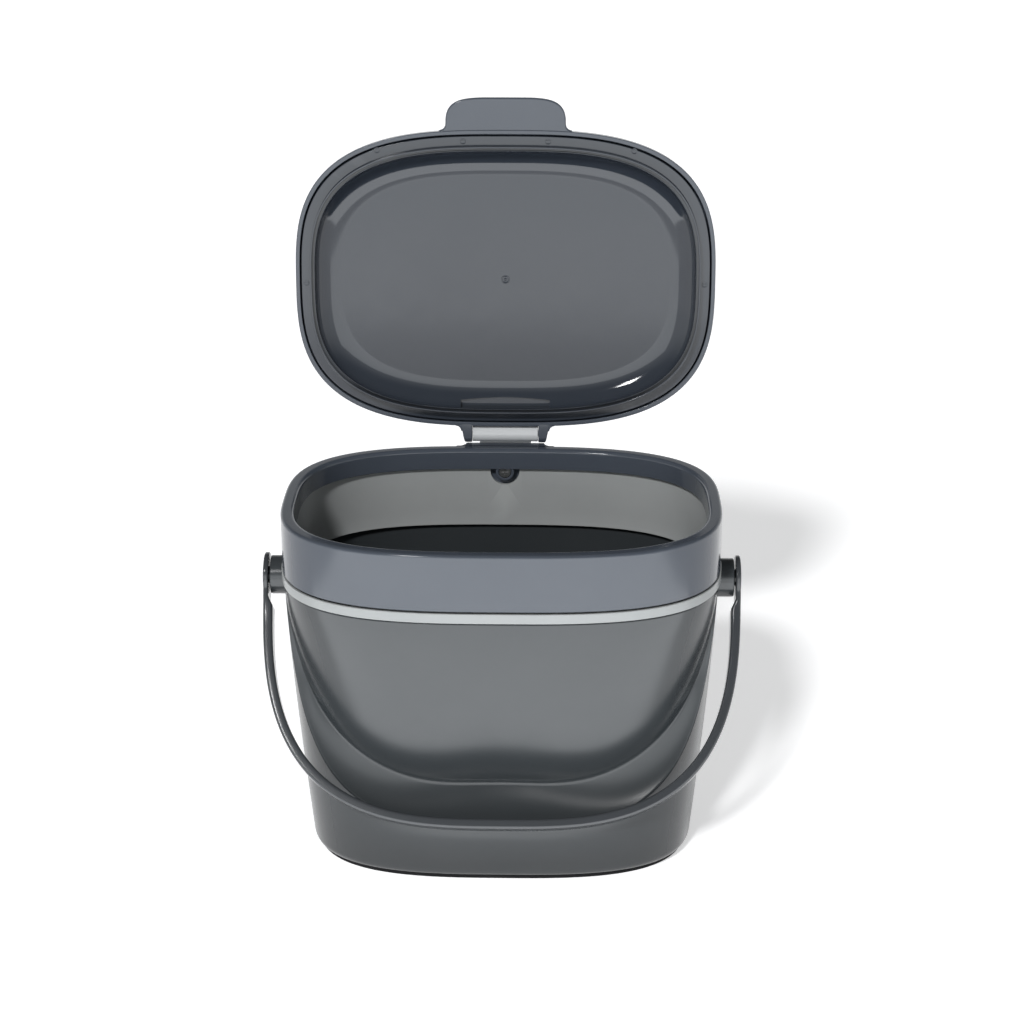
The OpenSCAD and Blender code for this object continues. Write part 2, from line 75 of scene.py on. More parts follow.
@dataclass(frozen=True)
class RimPlan:
    """The rounded plan outline that the rim, the lid and the bucket's mouth share.

    Attributes:
        half_w: Half the width at the rim.
        half_d: Half the depth at the rim.
        power: Squareness of the outline; 2 is an ellipse.
    """

    half_w: float = 102.5
    half_d: float = 73.0
    power: float = 3.0

    def reach(self, angle: float, a: float, b: float) -> float:
        """Gives the distance from the middle to an outline.

        Args:
            angle: Direction in radians from +X.
            a: Half width of the outline.
            b: Half depth of the outline.

        Returns:
            The distance in millimetres.
        """
        n = self.power
        return ((abs(math.cos(angle)) / a) ** n + (abs(math.sin(angle)) / b) ** n) ** (-1.0 / n)

    def columns(self, count: int) -> list[float]:
        """Spreads column angles round the outline, closer together at its corners.

        Args:
            count: Number of columns.

        Returns:
            Angles in radians.
        """
        def root(v: float) -> float:
            """Signed root that spreads the columns."""
            return math.copysign(abs(v) ** (2.0 / self.power), v)

        turns = (2.0 * math.pi * i / count for i in range(count))
        return [math.atan2(self.half_d * root(math.sin(q)), self.half_w * root(math.cos(q))) for q in turns]

    def ring(self, angles: Sequence[float], inset: float, z: float) -> Ring:
        """Lays one outline, set in from the rim's own.

        Args:
            angles: Column angles.
            inset: How far the half sizes are reduced.
            z: Height of the outline.

        Returns:
            One point for each column.
        """
        return self.sized_ring(angles, self.half_w - inset, self.half_d - inset, z)

    def sized_ring(self, angles: Sequence[float], a: float, b: float, z: float) -> Ring:
        """Lays one outline of given half sizes a and b at height z."""
        return [polar(self.reach(q, a, b), q, z) for q in angles]


def polar(radius: float, angle: float, z: float) -> Vector:
    """Gives the point at a radius, an angle in radians and a height."""
    return Vector((radius * math.cos(angle), radius * math.sin(angle), z))


@dataclass(frozen=True)
class Corner:
    """A corner of a section: how far across, how far up, and its rounding."""

    across: float
    up: float
    radius: float = 0.0


def trace(corners: Sequence[Corner], closed: bool, steps: int = 5) -> Track:
    """Follows a section through its corners and rounds each one.

    Args:
        corners: The section's corners in order.
        closed: Whether the last corner joins the first.
        steps: Number of spans in each rounding.

    Returns:
        Points along the section.
    """
    track: Track = []
    count = len(corners)
    for i, corner in enumerate(corners):
        here = Vector((corner.across, corner.up))
        if corner.radius <= 0.0 or (not closed and i in (0, count - 1)):
            track.append((here.x, here.y))
            continue
        before, after = corners[i - 1], corners[(i + 1) % count]
        back = (Vector((before.across, before.up)) - here).normalized()
        ahead = (Vector((after.across, after.up)) - here).normalized()
        half = math.acos(max(-1.0, min(1.0, back.dot(ahead)))) / 2.0
        run = corner.radius / math.tan(half)
        centre = here + (back + ahead).normalized() * (corner.radius / math.sin(half))
        first, last = here + back * run - centre, here + ahead * run - centre
        for k in range(steps + 1):
            spoke = first.slerp(last, k / steps) * corner.radius
            track.append((centre.x + spoke.x, centre.y + spoke.y))
    return track


def between(start: float, end: float, count: int) -> list[float]:
    """Gives count values spread evenly from start to end, both included."""
    return [start + (end - start) * i / (count - 1) for i in range(count)]


def bend(first: tuple[float, float], corner: tuple[float, float], last: tuple[float, float],
         count: int) -> Track:
    """Rounds a corner with a parabola, leaving out its two ends.

    Args:
        first: Point before the corner.
        corner: The corner itself.
        last: Point after the corner.
        count: Number of points.

    Returns:
        The rounded points.
    """
    track: Track = []
    for i in range(1, count + 1):
        f = i / (count + 1)
        a, b, c = (1 - f) ** 2, 2 * f * (1 - f), f * f
        track.append((a * first[0] + b * corner[0] + c * last[0], a * first[1] + b * corner[1] + c * last[1]))
    return track


# Mesh work


class Loft:
    """A skin that grows ring by ring: each ring is extruded and then laid in its place."""

    def __init__(self, first: Ring) -> None:
        """Lays the first ring.

        Args:
            first: One point for each column.
        """
        self.bm = bmesh.new()
        self.column = self.bm.verts.layers.int.new("column")
        made = bmesh.ops.create_circle(self.bm, cap_ends=False, segments=len(first), radius=1.0)
        for i, vert in enumerate(made["verts"]):
            vert[self.column] = i
            vert.co = first[i]
        self.start = list(self.bm.edges)
        self.open = list(self.bm.edges)

    def climb(self, ring: Ring) -> None:
        """Extrudes the open edge and lays it on the next ring.

        Args:
            ring: One point for each column.
        """
        made = bmesh.ops.extrude_edge_only(self.bm, edges=self.open)["geom"]
        for vert in (g for g in made if isinstance(g, bmesh.types.BMVert)):
            vert.co = ring[vert[self.column]]
        self.open = [g for g in made if isinstance(g, bmesh.types.BMEdge)]

    def rise(self, rings: Iterable[Ring]) -> "Loft":
        """Climbs through several rings and returns the loft.

        Args:
            rings: The rings in their order.

        Returns:
            The loft itself.
        """
        for ring in rings:
            self.climb(ring)
        return self

    def cap(self) -> "Loft":
        """Closes the first and the last ring with flat faces and returns the loft.

        Returns:
            The loft itself.
        """
        bmesh.ops.contextual_create(self.bm, geom=self.start)
        bmesh.ops.contextual_create(self.bm, geom=self.open)
        return self

    def done(self) -> bmesh.types.BMesh:
        """Merges what meets, turns the faces outwards and gives the mesh."""
        return tidy(self.bm)


def hand_over(name: str, bm: bmesh.types.BMesh) -> bpy.types.Mesh:
    """Turns a bmesh into a named mesh and frees the bmesh.

    Args:
        name: Name of the mesh.
        bm: The bmesh; it is used up.

    Returns:
        The new mesh.
    """
    mesh = bpy.data.meshes.new(name)
    bm.to_mesh(mesh)
    bm.free()
    return mesh


def show(name: str, data: bpy.types.ID) -> bpy.types.Object:
    """Makes an object of a mesh, a lamp or a camera and links it to the scene.

    Args:
        name: Name of the object.
        data: The mesh, lamp or camera.

    Returns:
        The linked object.
    """
    obj = bpy.data.objects.new(name, data)
    bpy.context.scene.collection.objects.link(obj)
    return obj


def tidy(bm: bmesh.types.BMesh) -> bmesh.types.BMesh:
    """Merges doubles and turns all faces outwards.

    Args:
        bm: The mesh, changed in place.

    Returns:
        The same mesh.
    """
    bmesh.ops.remove_doubles(bm, verts=bm.verts, dist=MERGE)
    bmesh.ops.recalc_face_normals(bm, faces=bm.faces)
    return bm


def lathe(section: Sequence[tuple[float, float]], place: Matrix, steps: int = 72) -> bmesh.types.BMesh:
    """Turns a section of (radius, height) points round an axis.

    Args:
        section: Points from the axis round to the axis, or a closed chain.
        place: Moves the turned piece from the Z axis to where it belongs.
        steps: Number of spans round the axis.

    Returns:
        The closed mesh.
    """
    bm = bmesh.new()
    chain = [bm.verts.new((radius, 0.0, height)) for radius, height in section]
    edges = [bm.edges.new(pair) for pair in zip(chain, chain[1:])]
    bmesh.ops.spin(bm, geom=chain + edges, cent=(0, 0, 0), axis=(0, 0, 1), dvec=(0, 0, 0),
                   angle=2.0 * math.pi, steps=steps, use_merge=True)
    bmesh.ops.transform(bm, matrix=place, verts=bm.verts)
    return tidy(bm)


def disc_section(radius: float, low: float, high: float, soft: float) -> Track:
    """Gives the section of a round disc from height low to high with rounded edges."""
    return trace([Corner(0.0, low), Corner(radius, low, soft), Corner(radius, high, soft),
                  Corner(0.0, high)], False)


def plate(outline: Sequence[tuple[float, float]], low: float, high: float, soft: float,
          place: Matrix) -> bmesh.types.BMesh:
    """Raises a flat outline to a thickness and rounds its two rims.

    Args:
        outline: Corners of the outline in order.
        low: Height of the lower face.
        high: Height of the upper face.
        soft: Rounding of the rims, or 0.
        place: Moves the plate to where it belongs.

    Returns:
        The closed mesh.
    """
    bm = bmesh.new()
    made = bmesh.ops.create_circle(bm, cap_ends=True, segments=len(outline), radius=1.0)
    for vert, (x, y) in zip(made["verts"], outline):
        vert.co = Vector((x, y, low))
    raised = bmesh.ops.extrude_face_region(bm, geom=list(bm.faces), use_keep_orig=True)["geom"]
    for vert in (g for g in raised if isinstance(g, bmesh.types.BMVert)):
        vert.co.z = high
    tidy(bm)
    if soft > 0.0:
        rims = [e for e in bm.edges if abs(e.verts[0].co.z - e.verts[1].co.z) < MERGE]
        bmesh.ops.bevel(bm, geom=rims, offset=soft, segments=3, profile=0.5, affect="EDGES", material=-1)
    bmesh.ops.transform(bm, matrix=place, verts=bm.verts)
    return tidy(bm)


def join(first: bmesh.types.BMesh, *others: bmesh.types.BMesh) -> bmesh.types.BMesh:
    """Gathers several meshes in the first one and returns it.

    Args:
        first: The mesh that takes in the rest.
        *others: The other meshes; they are used up.

    Returns:
        The first mesh.
    """
    for other in others:
        carrier = hand_over("carrier", other)
        first.from_mesh(carrier)
        bpy.data.meshes.remove(carrier)
    return first


def carve(work: bmesh.types.BMesh, tool: bmesh.types.BMesh, cut: Cut) -> bmesh.types.BMesh:
    """Adds a tool's shape to a mesh or takes it away.

    Args:
        work: The mesh that is worked.
        tool: The other mesh; it is used up.
        cut: What is done with the tool.

    Returns:
        The worked mesh.
    """
    objects = [show(name, hand_over(name, bm)) for name, bm in (("carve_work", work), ("carve_tool", tool))]
    modifier = objects[0].modifiers.new("carve", "BOOLEAN")
    modifier.operation = cut.value
    modifier.solver = "EXACT"
    modifier.object = objects[1]
    bpy.context.view_layer.update()
    result = bmesh.new()
    result.from_object(objects[0], bpy.context.evaluated_depsgraph_get())
    for obj in objects:
        mesh = obj.data
        bpy.data.objects.remove(obj)
        bpy.data.meshes.remove(mesh)
    return result


def along_x(x: float, y: float, z: float) -> Matrix:
    """Turns the Z axis to +X and moves the origin to a point."""
    return Matrix.Translation((x, y, z)) @ Matrix.Rotation(math.pi / 2.0, 4, "Y")


def along_y(x: float, y: float, z: float) -> Matrix:
    """Turns the Z axis to -Y and moves the origin to a point."""
    return Matrix.Translation((x, y, z)) @ Matrix.Rotation(math.pi / 2.0, 4, "X")


def yz_plane(x: float) -> Matrix:
    """Lays a plate drawn in (Y, Z) across the X axis at x."""
    return Matrix(((0, 0, 1, x), (1, 0, 0, 0), (0, 1, 0, 0), (0, 0, 0, 1)))


def xz_plane(y: float) -> Matrix:
    """Lays a plate drawn in (X, Z) across the Y axis at y, thickness towards -Y."""
    return Matrix(((1, 0, 0, 0), (0, 0, -1, y), (0, 1, 0, 0), (0, 0, 0, 1)))


def mirror_x(bm: bmesh.types.BMesh) -> bmesh.types.BMesh:
    """Gives a mesh its twin on the other side of the middle and returns both.

    Args:
        bm: The mesh on one side, changed in place.

    Returns:
        The same mesh with its twin.
    """
    twin = bm.copy()
    bmesh.ops.scale(twin, vec=(-1, 1, 1), verts=twin.verts)
    bmesh.ops.reverse_faces(twin, faces=twin.faces)
    return join(bm, twin)


@dataclass(frozen=True)
class Piece:
    """What a finished mesh is called and what it stands for.

    Attributes:
        name: Name of the Blender object.
        body: The body it rides on.
        slot: The record's material slot; not used.
        nodes: The CAD nodes it replaces.
    """

    name: str
    body: Body
    slot: str
    nodes: tuple[str, ...]


SHARP_ANGLE = math.radians(38.0)


def finish_piece(bm: bmesh.types.BMesh, piece: Piece, material: bpy.types.Material) -> bpy.types.Object:
    """Brings a mesh to metres, smooths its shading, hangs it on its body and hides the CAD nodes it replaces.

    Args:
        bm: The mesh in millimetres; it is used up.
        piece: Name, body, slot and replaced nodes.
        material: The finish.

    Returns:
        The object, at the origin.
    """
    bmesh.ops.scale(bm, vec=(MM, MM, MM), verts=bm.verts)
    for face in bm.faces:
        face.smooth = True
    for edge in bm.edges:
        edge.smooth = not (len(edge.link_faces) == 2 and edge.calc_face_angle(0.0) > SHARP_ANGLE)
    mesh = hand_over(piece.name, bm)
    mesh.materials.append(material)
    obj = show(piece.name, mesh)
    weigh = obj.modifiers.new("even_shading", "WEIGHTED_NORMAL")
    weigh.keep_sharp = True
    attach(obj, piece.body.value)
    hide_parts(*piece.nodes)
    LOG.info("%s: %d faces on %s", piece.name, len(mesh.polygons), piece.body.value)
    return obj


# Finishes

# Sockets of a colour mix, which share their names with other types
FIRST_COLOUR, SECOND_COLOUR, MIXED = 6, 7, 2


def lay(tree: bpy.types.NodeTree, kind: str, values: dict[str | int, object] | None = None,
        **settings: object) -> bpy.types.Node:
    """Adds a shader node.

    Args:
        tree: The tree that it is laid in.
        kind: Name of the node's type after "ShaderNode".
        values: Values of its unlinked inputs.
        settings: Its own settings, set before the values.

    Returns:
        The node.
    """
    node = tree.nodes.new(f"ShaderNode{kind}")
    for name, setting in settings.items():
        setattr(node, name, setting)
    for socket, value in (values or {}).items():
        node.inputs[socket].default_value = value
    return node


def wire(tree: bpy.types.NodeTree,
         *links: tuple[bpy.types.Node, str | int, bpy.types.Node, str | int]) -> None:
    """Links nodes, each link given as a node, its output, the next node and its input."""
    for source, outlet, target, inlet in links:
        tree.links.new(source.outputs[outlet], target.inputs[inlet])


class ShadeGroups:
    """Node groups that the finishes share, each built once."""

    def __init__(self) -> None:
        """Builds the groups."""
        self.grain = self._build_grain()
        self.handling = self._build_handling()

    @staticmethod
    def _group(name: str, inputs: Sequence[tuple[str, float]],
               outputs: Sequence[tuple[str, str]]) -> bpy.types.NodeTree:
        """Makes an empty group with float inputs and named outputs.

        Args:
            name: Name of the group.
            inputs: Names and default values.
            outputs: Names and socket types.

        Returns:
            The node tree.
        """
        tree = bpy.data.node_groups.new(name, "ShaderNodeTree")
        for label, value in inputs:
            tree.interface.new_socket(label, in_out="INPUT",
                                      socket_type="NodeSocketFloat").default_value = value
        for label, kind in outputs:
            tree.interface.new_socket(label, in_out="OUTPUT", socket_type=kind)
        tree.nodes.new("NodeGroupInput")
        tree.nodes.new("NodeGroupOutput")
        return tree

    def _build_grain(self) -> bpy.types.NodeTree:
        """Builds the fine moulded grain: a bumped normal over two sizes of noise.

        Returns:
            The node group.
        """
        tree = self._group("moulded_grain", [("Scale", 2600.0), ("Depth", 0.2)],
                           [("Normal", "NodeSocketVector")])
        inlet, outlet = tree.nodes["Group Input"], tree.nodes["Group Output"]
        place = lay(tree, "TexCoord")
        fine = lay(tree, "TexNoise", {"Detail": 2.0})
        wave = lay(tree, "TexNoise", {"Scale": 55.0, "Detail": 1.0})
        fine_bump = lay(tree, "Bump", {"Distance": 0.04 * MM})
        wave_bump = lay(tree, "Bump", {"Distance": 0.12 * MM, "Strength": 0.18})
        wire(tree,
             (place, "Object", fine, "Vector"), (place, "Object", wave, "Vector"),
             (inlet, "Scale", fine, "Scale"), (inlet, "Depth", fine_bump, "Strength"),
             (fine, "Fac", fine_bump, "Height"), (wave, "Fac", wave_bump, "Height"),
             (wave_bump, "Normal", fine_bump, "Normal"), (fine_bump, "Normal", outlet, "Normal"))
        return tree

    def _build_handling(self) -> bpy.types.NodeTree:
        """Builds the traces of handling: smudges, hairline scratches and rubbed edges.

        Returns:
            The node group.
        """
        tree = self._group("handling_traces", [("Scratches", 0.5)],
                           [("Smudge", "NodeSocketFloat"), ("Scratch", "NodeSocketFloat"),
                            ("Edge", "NodeSocketFloat")])
        inlet, outlet = tree.nodes["Group Input"], tree.nodes["Group Output"]
        place = lay(tree, "TexCoord")
        smudge = lay(tree, "TexNoise", {"Scale": 26.0, "Detail": 5.0, "Roughness": 0.62})
        soft = lay(tree, "MapRange", {"From Min": 0.35, "From Max": 0.68})
        turn = lay(tree, "Mapping", {"Rotation": (0.6, 0.3, 0.9), "Scale": (1.0, 14.0, 9.0)})
        hair = lay(tree, "TexNoise", {"Scale": 34.0, "Detail": 6.0, "Roughness": 0.75})
        thin = lay(tree, "MapRange", {"From Min": 0.66, "From Max": 0.72})
        weigh = lay(tree, "Math", operation="MULTIPLY")
        shape = lay(tree, "NewGeometry")
        edge = lay(tree, "MapRange", {"From Min": 0.53, "From Max": 0.62})
        wire(tree,
             (place, "Object", smudge, "Vector"), (place, "Object", turn, "Vector"),
             (turn, "Vector", hair, "Vector"),
             (smudge, "Fac", soft, "Value"), (hair, "Fac", thin, "Value"), (thin, "Result", weigh, 0),
             (inlet, "Scratches", weigh, 1), (shape, "Pointiness", edge, "Value"),
             (soft, "Result", outlet, "Smudge"), (weigh, "Value", outlet, "Scratch"),
             (edge, "Result", outlet, "Edge"))
        return tree


@dataclass(frozen=True)
class MouldedFinish:
    """A moulded plastic or rubber surface with grain, smudges and slightly rubbed edges.

    Attributes:
        name: Name of the material.
        base: Main colour, linear.
        drift: Second colour, which drifts in softly.
        rubbed: Colour of rubbed edges and hairlines.
        rough_low: Roughness where the surface is cleanest.
        rough_high: Roughness where it is smudged.
        grain_scale: Fineness of the grain.
        grain_depth: Strength of the grain.
        gloss: Specular level of the surface.
        scratches: Strength of the hairlines.
        metallic: 1 for bare metal.
    """

    SCUFF: ClassVar[float] = 0.12
    EDGE_WEAR: ClassVar[float] = 0.45
    HAIR_TINT: ClassVar[float] = 0.25

    name: str
    base: tuple[float, float, float]
    drift: tuple[float, float, float]
    rubbed: tuple[float, float, float]
    rough_low: float
    rough_high: float
    grain_scale: float = 2600.0
    grain_depth: float = 0.2
    gloss: float = 0.5
    scratches: float = 0.4
    metallic: float = 0.0

    def make(self, groups: ShadeGroups) -> bpy.types.Material:
        """Builds the material.

        Args:
            groups: The shared node groups.

        Returns:
            The material.
        """
        material = bpy.data.materials.new(self.name)
        material.use_nodes = True
        tree = material.node_tree
        shader = tree.nodes["Principled BSDF"]
        shader.inputs["Specular IOR Level"].default_value = self.gloss
        shader.inputs["Metallic"].default_value = self.metallic
        grain = lay(tree, "Group", {"Scale": self.grain_scale, "Depth": self.grain_depth},
                    node_tree=groups.grain)
        traces = lay(tree, "Group", {"Scratches": self.scratches}, node_tree=groups.handling)
        tint = self._mix(tree, self.base, self.drift)
        rub = self._mix(tree, self.base, self.rubbed)
        line = self._mix(tree, self.base, self.rubbed)
        rough = lay(tree, "MapRange", {"To Min": self.rough_low, "To Max": self.rough_high})
        scuff = lay(tree, "Math", {1: self.SCUFF}, operation="MULTIPLY_ADD")
        rim = lay(tree, "Math", {1: self.EDGE_WEAR}, operation="MULTIPLY")
        hair = lay(tree, "Math", {1: self.HAIR_TINT}, operation="MULTIPLY")
        wire(tree,
             (traces, "Smudge", tint, "Factor"), (traces, "Edge", rim, 0), (rim, "Value", rub, "Factor"),
             (traces, "Scratch", hair, 0), (hair, "Value", line, "Factor"), (tint, MIXED, rub, FIRST_COLOUR),
             (rub, MIXED, line, FIRST_COLOUR), (line, MIXED, shader, "Base Color"),
             (traces, "Smudge", rough, "Value"),
             (traces, "Scratch", scuff, 0), (rough, "Result", scuff, 2),
             (scuff, "Value", shader, "Roughness"),
             (grain, "Normal", shader, "Normal"))
        return material

    @staticmethod
    def _mix(tree: bpy.types.NodeTree, first: tuple[float, float, float],
             second: tuple[float, float, float]) -> bpy.types.Node:
        """Lays a mix of two colours."""
        return lay(tree, "Mix", {FIRST_COLOUR: (*first, 1.0), SECOND_COLOUR: (*second, 1.0)},
                   data_type="RGBA")


BUCKET_FINISH = MouldedFinish(
    "charcoal_bucket", (0.032, 0.036, 0.039), (0.029, 0.033, 0.036), (0.06, 0.066, 0.07),
    rough_low=0.20, rough_high=0.25, grain_depth=0.08, gloss=0.62, scratches=0.12)
RIM_FINISH = MouldedFinish(
    "charcoal_rim", (0.055, 0.064, 0.080), (0.051, 0.060, 0.076), (0.085, 0.092, 0.105),
    rough_low=0.12, rough_high=0.16, grain_depth=0.08, gloss=0.62, scratches=0.12)
LINER_FINISH = MouldedFinish(
    "charcoal_liner", (0.025, 0.030, 0.039), (0.023, 0.028, 0.037), (0.05, 0.055, 0.065),
    rough_low=0.06, rough_high=0.10, grain_scale=2200.0, grain_depth=0.04, gloss=0.66, scratches=0.12)
HANDLE_FINISH = MouldedFinish(
    "charcoal_handle", (0.040, 0.043, 0.047), (0.036, 0.039, 0.043), (0.09, 0.09, 0.09),
    rough_low=0.11, rough_high=0.16, grain_depth=0.06, gloss=0.62, scratches=0.12)
PALE_FINISH = MouldedFinish(
    "pale_grey_trim", (0.29, 0.30, 0.30), (0.27, 0.28, 0.28), (0.38, 0.39, 0.39),
    rough_low=0.20, rough_high=0.26, grain_depth=0.08, gloss=0.5, scratches=0.12)
# The barrel is the same pale grey plastic as the trim ring, painted lighter here (0.50 against 0.29): painted
# light, as if more light fell on the barrel.
BARREL_PAINTED_LIGHTER_FINISH = MouldedFinish(
    "pale_grey_barrel_painted_lighter", (0.50, 0.51, 0.52), (0.47, 0.48, 0.49), (0.56, 0.57, 0.58),
    rough_low=0.18, rough_high=0.24, grain_depth=0.08, gloss=0.5, scratches=0.12)
FOOT_FINISH = MouldedFinish(
    "foot_rubber", (0.008, 0.008, 0.009), (0.011, 0.011, 0.012), (0.02, 0.02, 0.02),
    rough_low=0.60, rough_high=0.75, grain_scale=1800.0, grain_depth=0.5, gloss=0.15)
STEEL_FINISH = MouldedFinish(
    "pin_steel", (0.48, 0.48, 0.48), (0.42, 0.42, 0.42), (0.60, 0.60, 0.60),
    rough_low=0.28, rough_high=0.38, grain_scale=2200.0, grain_depth=0.1, gloss=0.5, scratches=0.8,
    metallic=1.0)


# The caddy's pieces


@dataclass
class Bucket:
    """The scooped bucket with a boss at each side for the handle."""

    plan: RimPlan
    count: int = 192
    mouth_z: float = 137.0
    mouth_in: float = 0.7
    base_a: float = 92.0
    base_b: float = 61.3
    under_z: float = 2.4
    edge_z: float = 7.0
    edge_in: float = 2.6
    wall: float = 2.3
    floor_t: float = 2.6
    floor_fillet: float = 9.0
    lip_z: float = 31.0
    ledge_h: float = 15.0
    scoop_depth: float = 16.5
    scoop_run: float = 12.0
    lip_angle: float = 79.0
    fade_angle: float = 84.0
    ledge_angle: float = 72.0
    lip_round: float = 1.1
    crease_round: float = 2.4
    bow: float = 1.32
    pivot_z: float = 130.2
    boss_r: float = 9.2
    boss_x: float = 109.5
    bore_r: float = 4.05
    boss_root: float = 100.0
    bore_floor: float = 102.2
    mouth_round: float = 0.9
    lip_power: int = 5
    ledge_power: int = 8
    fade_power: int = 5
    ledge_hollow: float = 0.8
    under_mouth: float = 4.0
    angles: list[float] = field(default_factory=list)

    def __post_init__(self) -> None:
        """Sets the columns."""
        self.angles = self.plan.columns(self.count)

    def envelope(self, angle: float, z: float) -> float:
        """Gives the radius of the plain outside at an angle and a height.

        Args:
            angle: Direction from the middle, in radians.
            z: Height.

        Returns:
            The radius.
        """
        u = min(1.0, max(0.0, (z - self.edge_z) / (self.mouth_z - self.edge_z)))
        rise = 1.0 - (1.0 - u) ** self.bow
        a = self.base_a + (self.plan.half_w - self.mouth_in - self.base_a) * rise
        b = self.base_b + (self.plan.half_d - self.mouth_in - self.base_b) * rise
        return self.plan.reach(angle, a, b)

    @staticmethod
    def from_front(angle: float) -> float:
        """Gives the angle from the middle of the front in degrees, 0 to 180."""
        d = (math.degrees(angle) + 90.0) % 360.0
        return 360.0 - d if d > 180.0 else d

    def lip_height(self, t: float) -> float:
        """Gives the height of the scoop's lip at t degrees from the front."""
        climb = (self.mouth_z - self.lip_z) * min(1.0, t / self.lip_angle) ** self.lip_power
        return min(self.mouth_z - self.under_mouth, self.lip_z + climb)

    def crease_height(self, t: float) -> float:
        """Gives the height of the crease at the back of the ledge."""
        ledge = max(1.5, self.ledge_h * (1.0 - min(1.0, t / self.ledge_angle) ** self.ledge_power))
        return min(self.mouth_z - 2.5, self.lip_height(t) + ledge)

    def scoop(self, t: float, z: float) -> float:
        """Gives how far the scooped front lies inside the plain outside.

        Args:
            t: Degrees from the middle of the front.
            z: Height.

        Returns:
            The distance inwards, 0 outside the scoop.
        """
        def curve(h: float) -> float:
            """Eases the scoop in under the mouth."""
            return h * h / (h + self.scoop_run)

        top = self.mouth_z - self.lip_z - self.ledge_h
        fade = 1.0 - (t / self.fade_angle) ** self.fade_power if t < self.fade_angle else 0.0
        return self.scoop_depth * curve(max(0.0, self.mouth_z - z)) / curve(top) * fade

    def outer_track(self, angle: float) -> Track:
        """Follows the outside from the base's edge to the mouth, with softened lip and crease.

        Args:
            angle: Direction from the middle, in radians.

        Returns:
            Points of (radius, height) from the bottom up.
        """
        t = self.from_front(angle)
        lip, crease = self.lip_height(t), self.crease_height(t)
        span = crease - lip

        def ledge(f: float) -> tuple[float, float]:
            """Gives a point of the ledge at a share f of its height."""
            z = lip + span * f
            return self.envelope(angle, z) - f ** self.ledge_hollow * self.scoop(t, z), z

        def bowl(z: float) -> tuple[float, float]:
            """Gives a point of the recessed panel."""
            return self.envelope(angle, z) - self.scoop(t, z), z

        lip_soft = min(self.lip_round, 0.3 * span)
        crease_soft = min(self.crease_round, 0.3 * span, 0.4 * (self.mouth_z - crease))
        lip_low = (self.envelope(angle, lip - lip_soft), lip - lip_soft)
        ledge_low, ledge_high = ledge(0.5 * lip_soft / span), ledge(1.0 - 0.6 * crease_soft / span)
        panel_low = bowl(crease + crease_soft)
        track = [(self.envelope(angle, z), z) for z in between(self.edge_z, lip - lip_soft, 20)]
        track += bend(lip_low, ledge(0.0), ledge_low, 5)
        track += [ledge(f) for f in between(0.5 * lip_soft / span, 1.0 - 0.6 * crease_soft / span, 14)]
        track += bend(ledge_high, bowl(crease), panel_low, 7)
        track += [bowl(z) for z in between(crease + crease_soft, self.mouth_z - self.mouth_round, 20)]
        top = bowl(self.mouth_z)[0]
        brim = (top - self.mouth_round, self.mouth_z)
        return track + bend(track[-1], (top, self.mouth_z), brim, 4) + [brim]

    def inner_track(self, angle: float) -> Track:
        """Follows the inside from the mouth down to the floor's fillet.

        Args:
            angle: Direction from the middle, in radians.

        Returns:
            Points of (radius, height) from the top down.
        """
        t = self.from_front(angle)
        lip, crease = self.lip_height(t), self.crease_height(t)
        low = self.under_z + self.floor_t + self.floor_fillet
        track: Track = []
        for z in between(self.mouth_z, crease, 16):
            track.append((self.envelope(angle, z) - self.scoop(t, z) - self.wall, z))
        track[0] = (track[0][0] + 0.5, self.mouth_z)
        track.insert(1, (track[1][0] + 0.1, self.mouth_z - 0.4))
        for f in between(0.95, 0.05, 9):
            z = lip + (crease - lip) * f
            radius = self.envelope(angle, z) - f ** self.ledge_hollow * self.scoop(t, z) - self.wall * 1.15
            track.append((radius, z - self.wall * 0.3 * (1.0 - f)))
        for f in between(1.0, 0.0, 14):
            z = low + (lip - low) * f
            track.append((self.envelope(angle, z) - self.wall, z - self.wall * 0.3 * f))
        return track

    def build(self) -> bmesh.types.BMesh:
        """Lofts the shell, sets the bosses on it and bores them.

        Returns:
            The shell with its two bosses.
        """
        outer = [self.outer_track(q) for q in self.angles]
        inner = [self.inner_track(q) for q in self.angles]
        ring = self.plan.sized_ring
        a, b = self.base_a, self.base_b
        loft = Loft([Vector((0, 0, self.under_z))] * self.count)
        for q in between(0.0, 90.0, 9):
            turn = math.radians(q)
            inset = self.edge_in * (1.0 - math.sin(turn))
            z = self.edge_z - (self.edge_z - self.under_z) * math.cos(turn)
            loft.climb(ring(self.angles, a - inset, b - inset, z))
        for k in range(1, len(outer[0])):
            loft.climb([polar(outer[i][k][0], q, outer[i][k][1]) for i, q in enumerate(self.angles)])
        for k in range(len(inner[0])):
            loft.climb([polar(inner[i][k][0], q, inner[i][k][1]) for i, q in enumerate(self.angles)])
        floor_z = self.under_z + self.floor_t
        low = floor_z + self.floor_fillet
        for q in between(10.0, 90.0, 9):
            turn = math.radians(q)
            pull = self.floor_fillet * (1.0 - math.cos(turn)) + self.wall
            z = low - self.floor_fillet * math.sin(turn)
            loft.climb([polar(self.envelope(p, low) - pull, p, z) for p in self.angles])
        for share in (0.7, 0.35):
            loft.climb([polar(self.envelope(p, low) * share, p, floor_z) for p in self.angles])
        loft.climb([Vector((0, 0, floor_z))] * self.count)
        shell = loft.done()
        boss = trace([
            Corner(0.0, self.boss_root), Corner(self.boss_r, self.boss_root),
            Corner(self.boss_r, self.boss_x, 0.5),
            Corner(self.bore_r, self.boss_x, 0.3), Corner(self.bore_r, self.bore_floor),
            Corner(0.0, self.bore_floor)], False)
        bosses = mirror_x(lathe(boss, along_x(0.0, 0.0, self.pivot_z)))
        return join(shell, bosses)


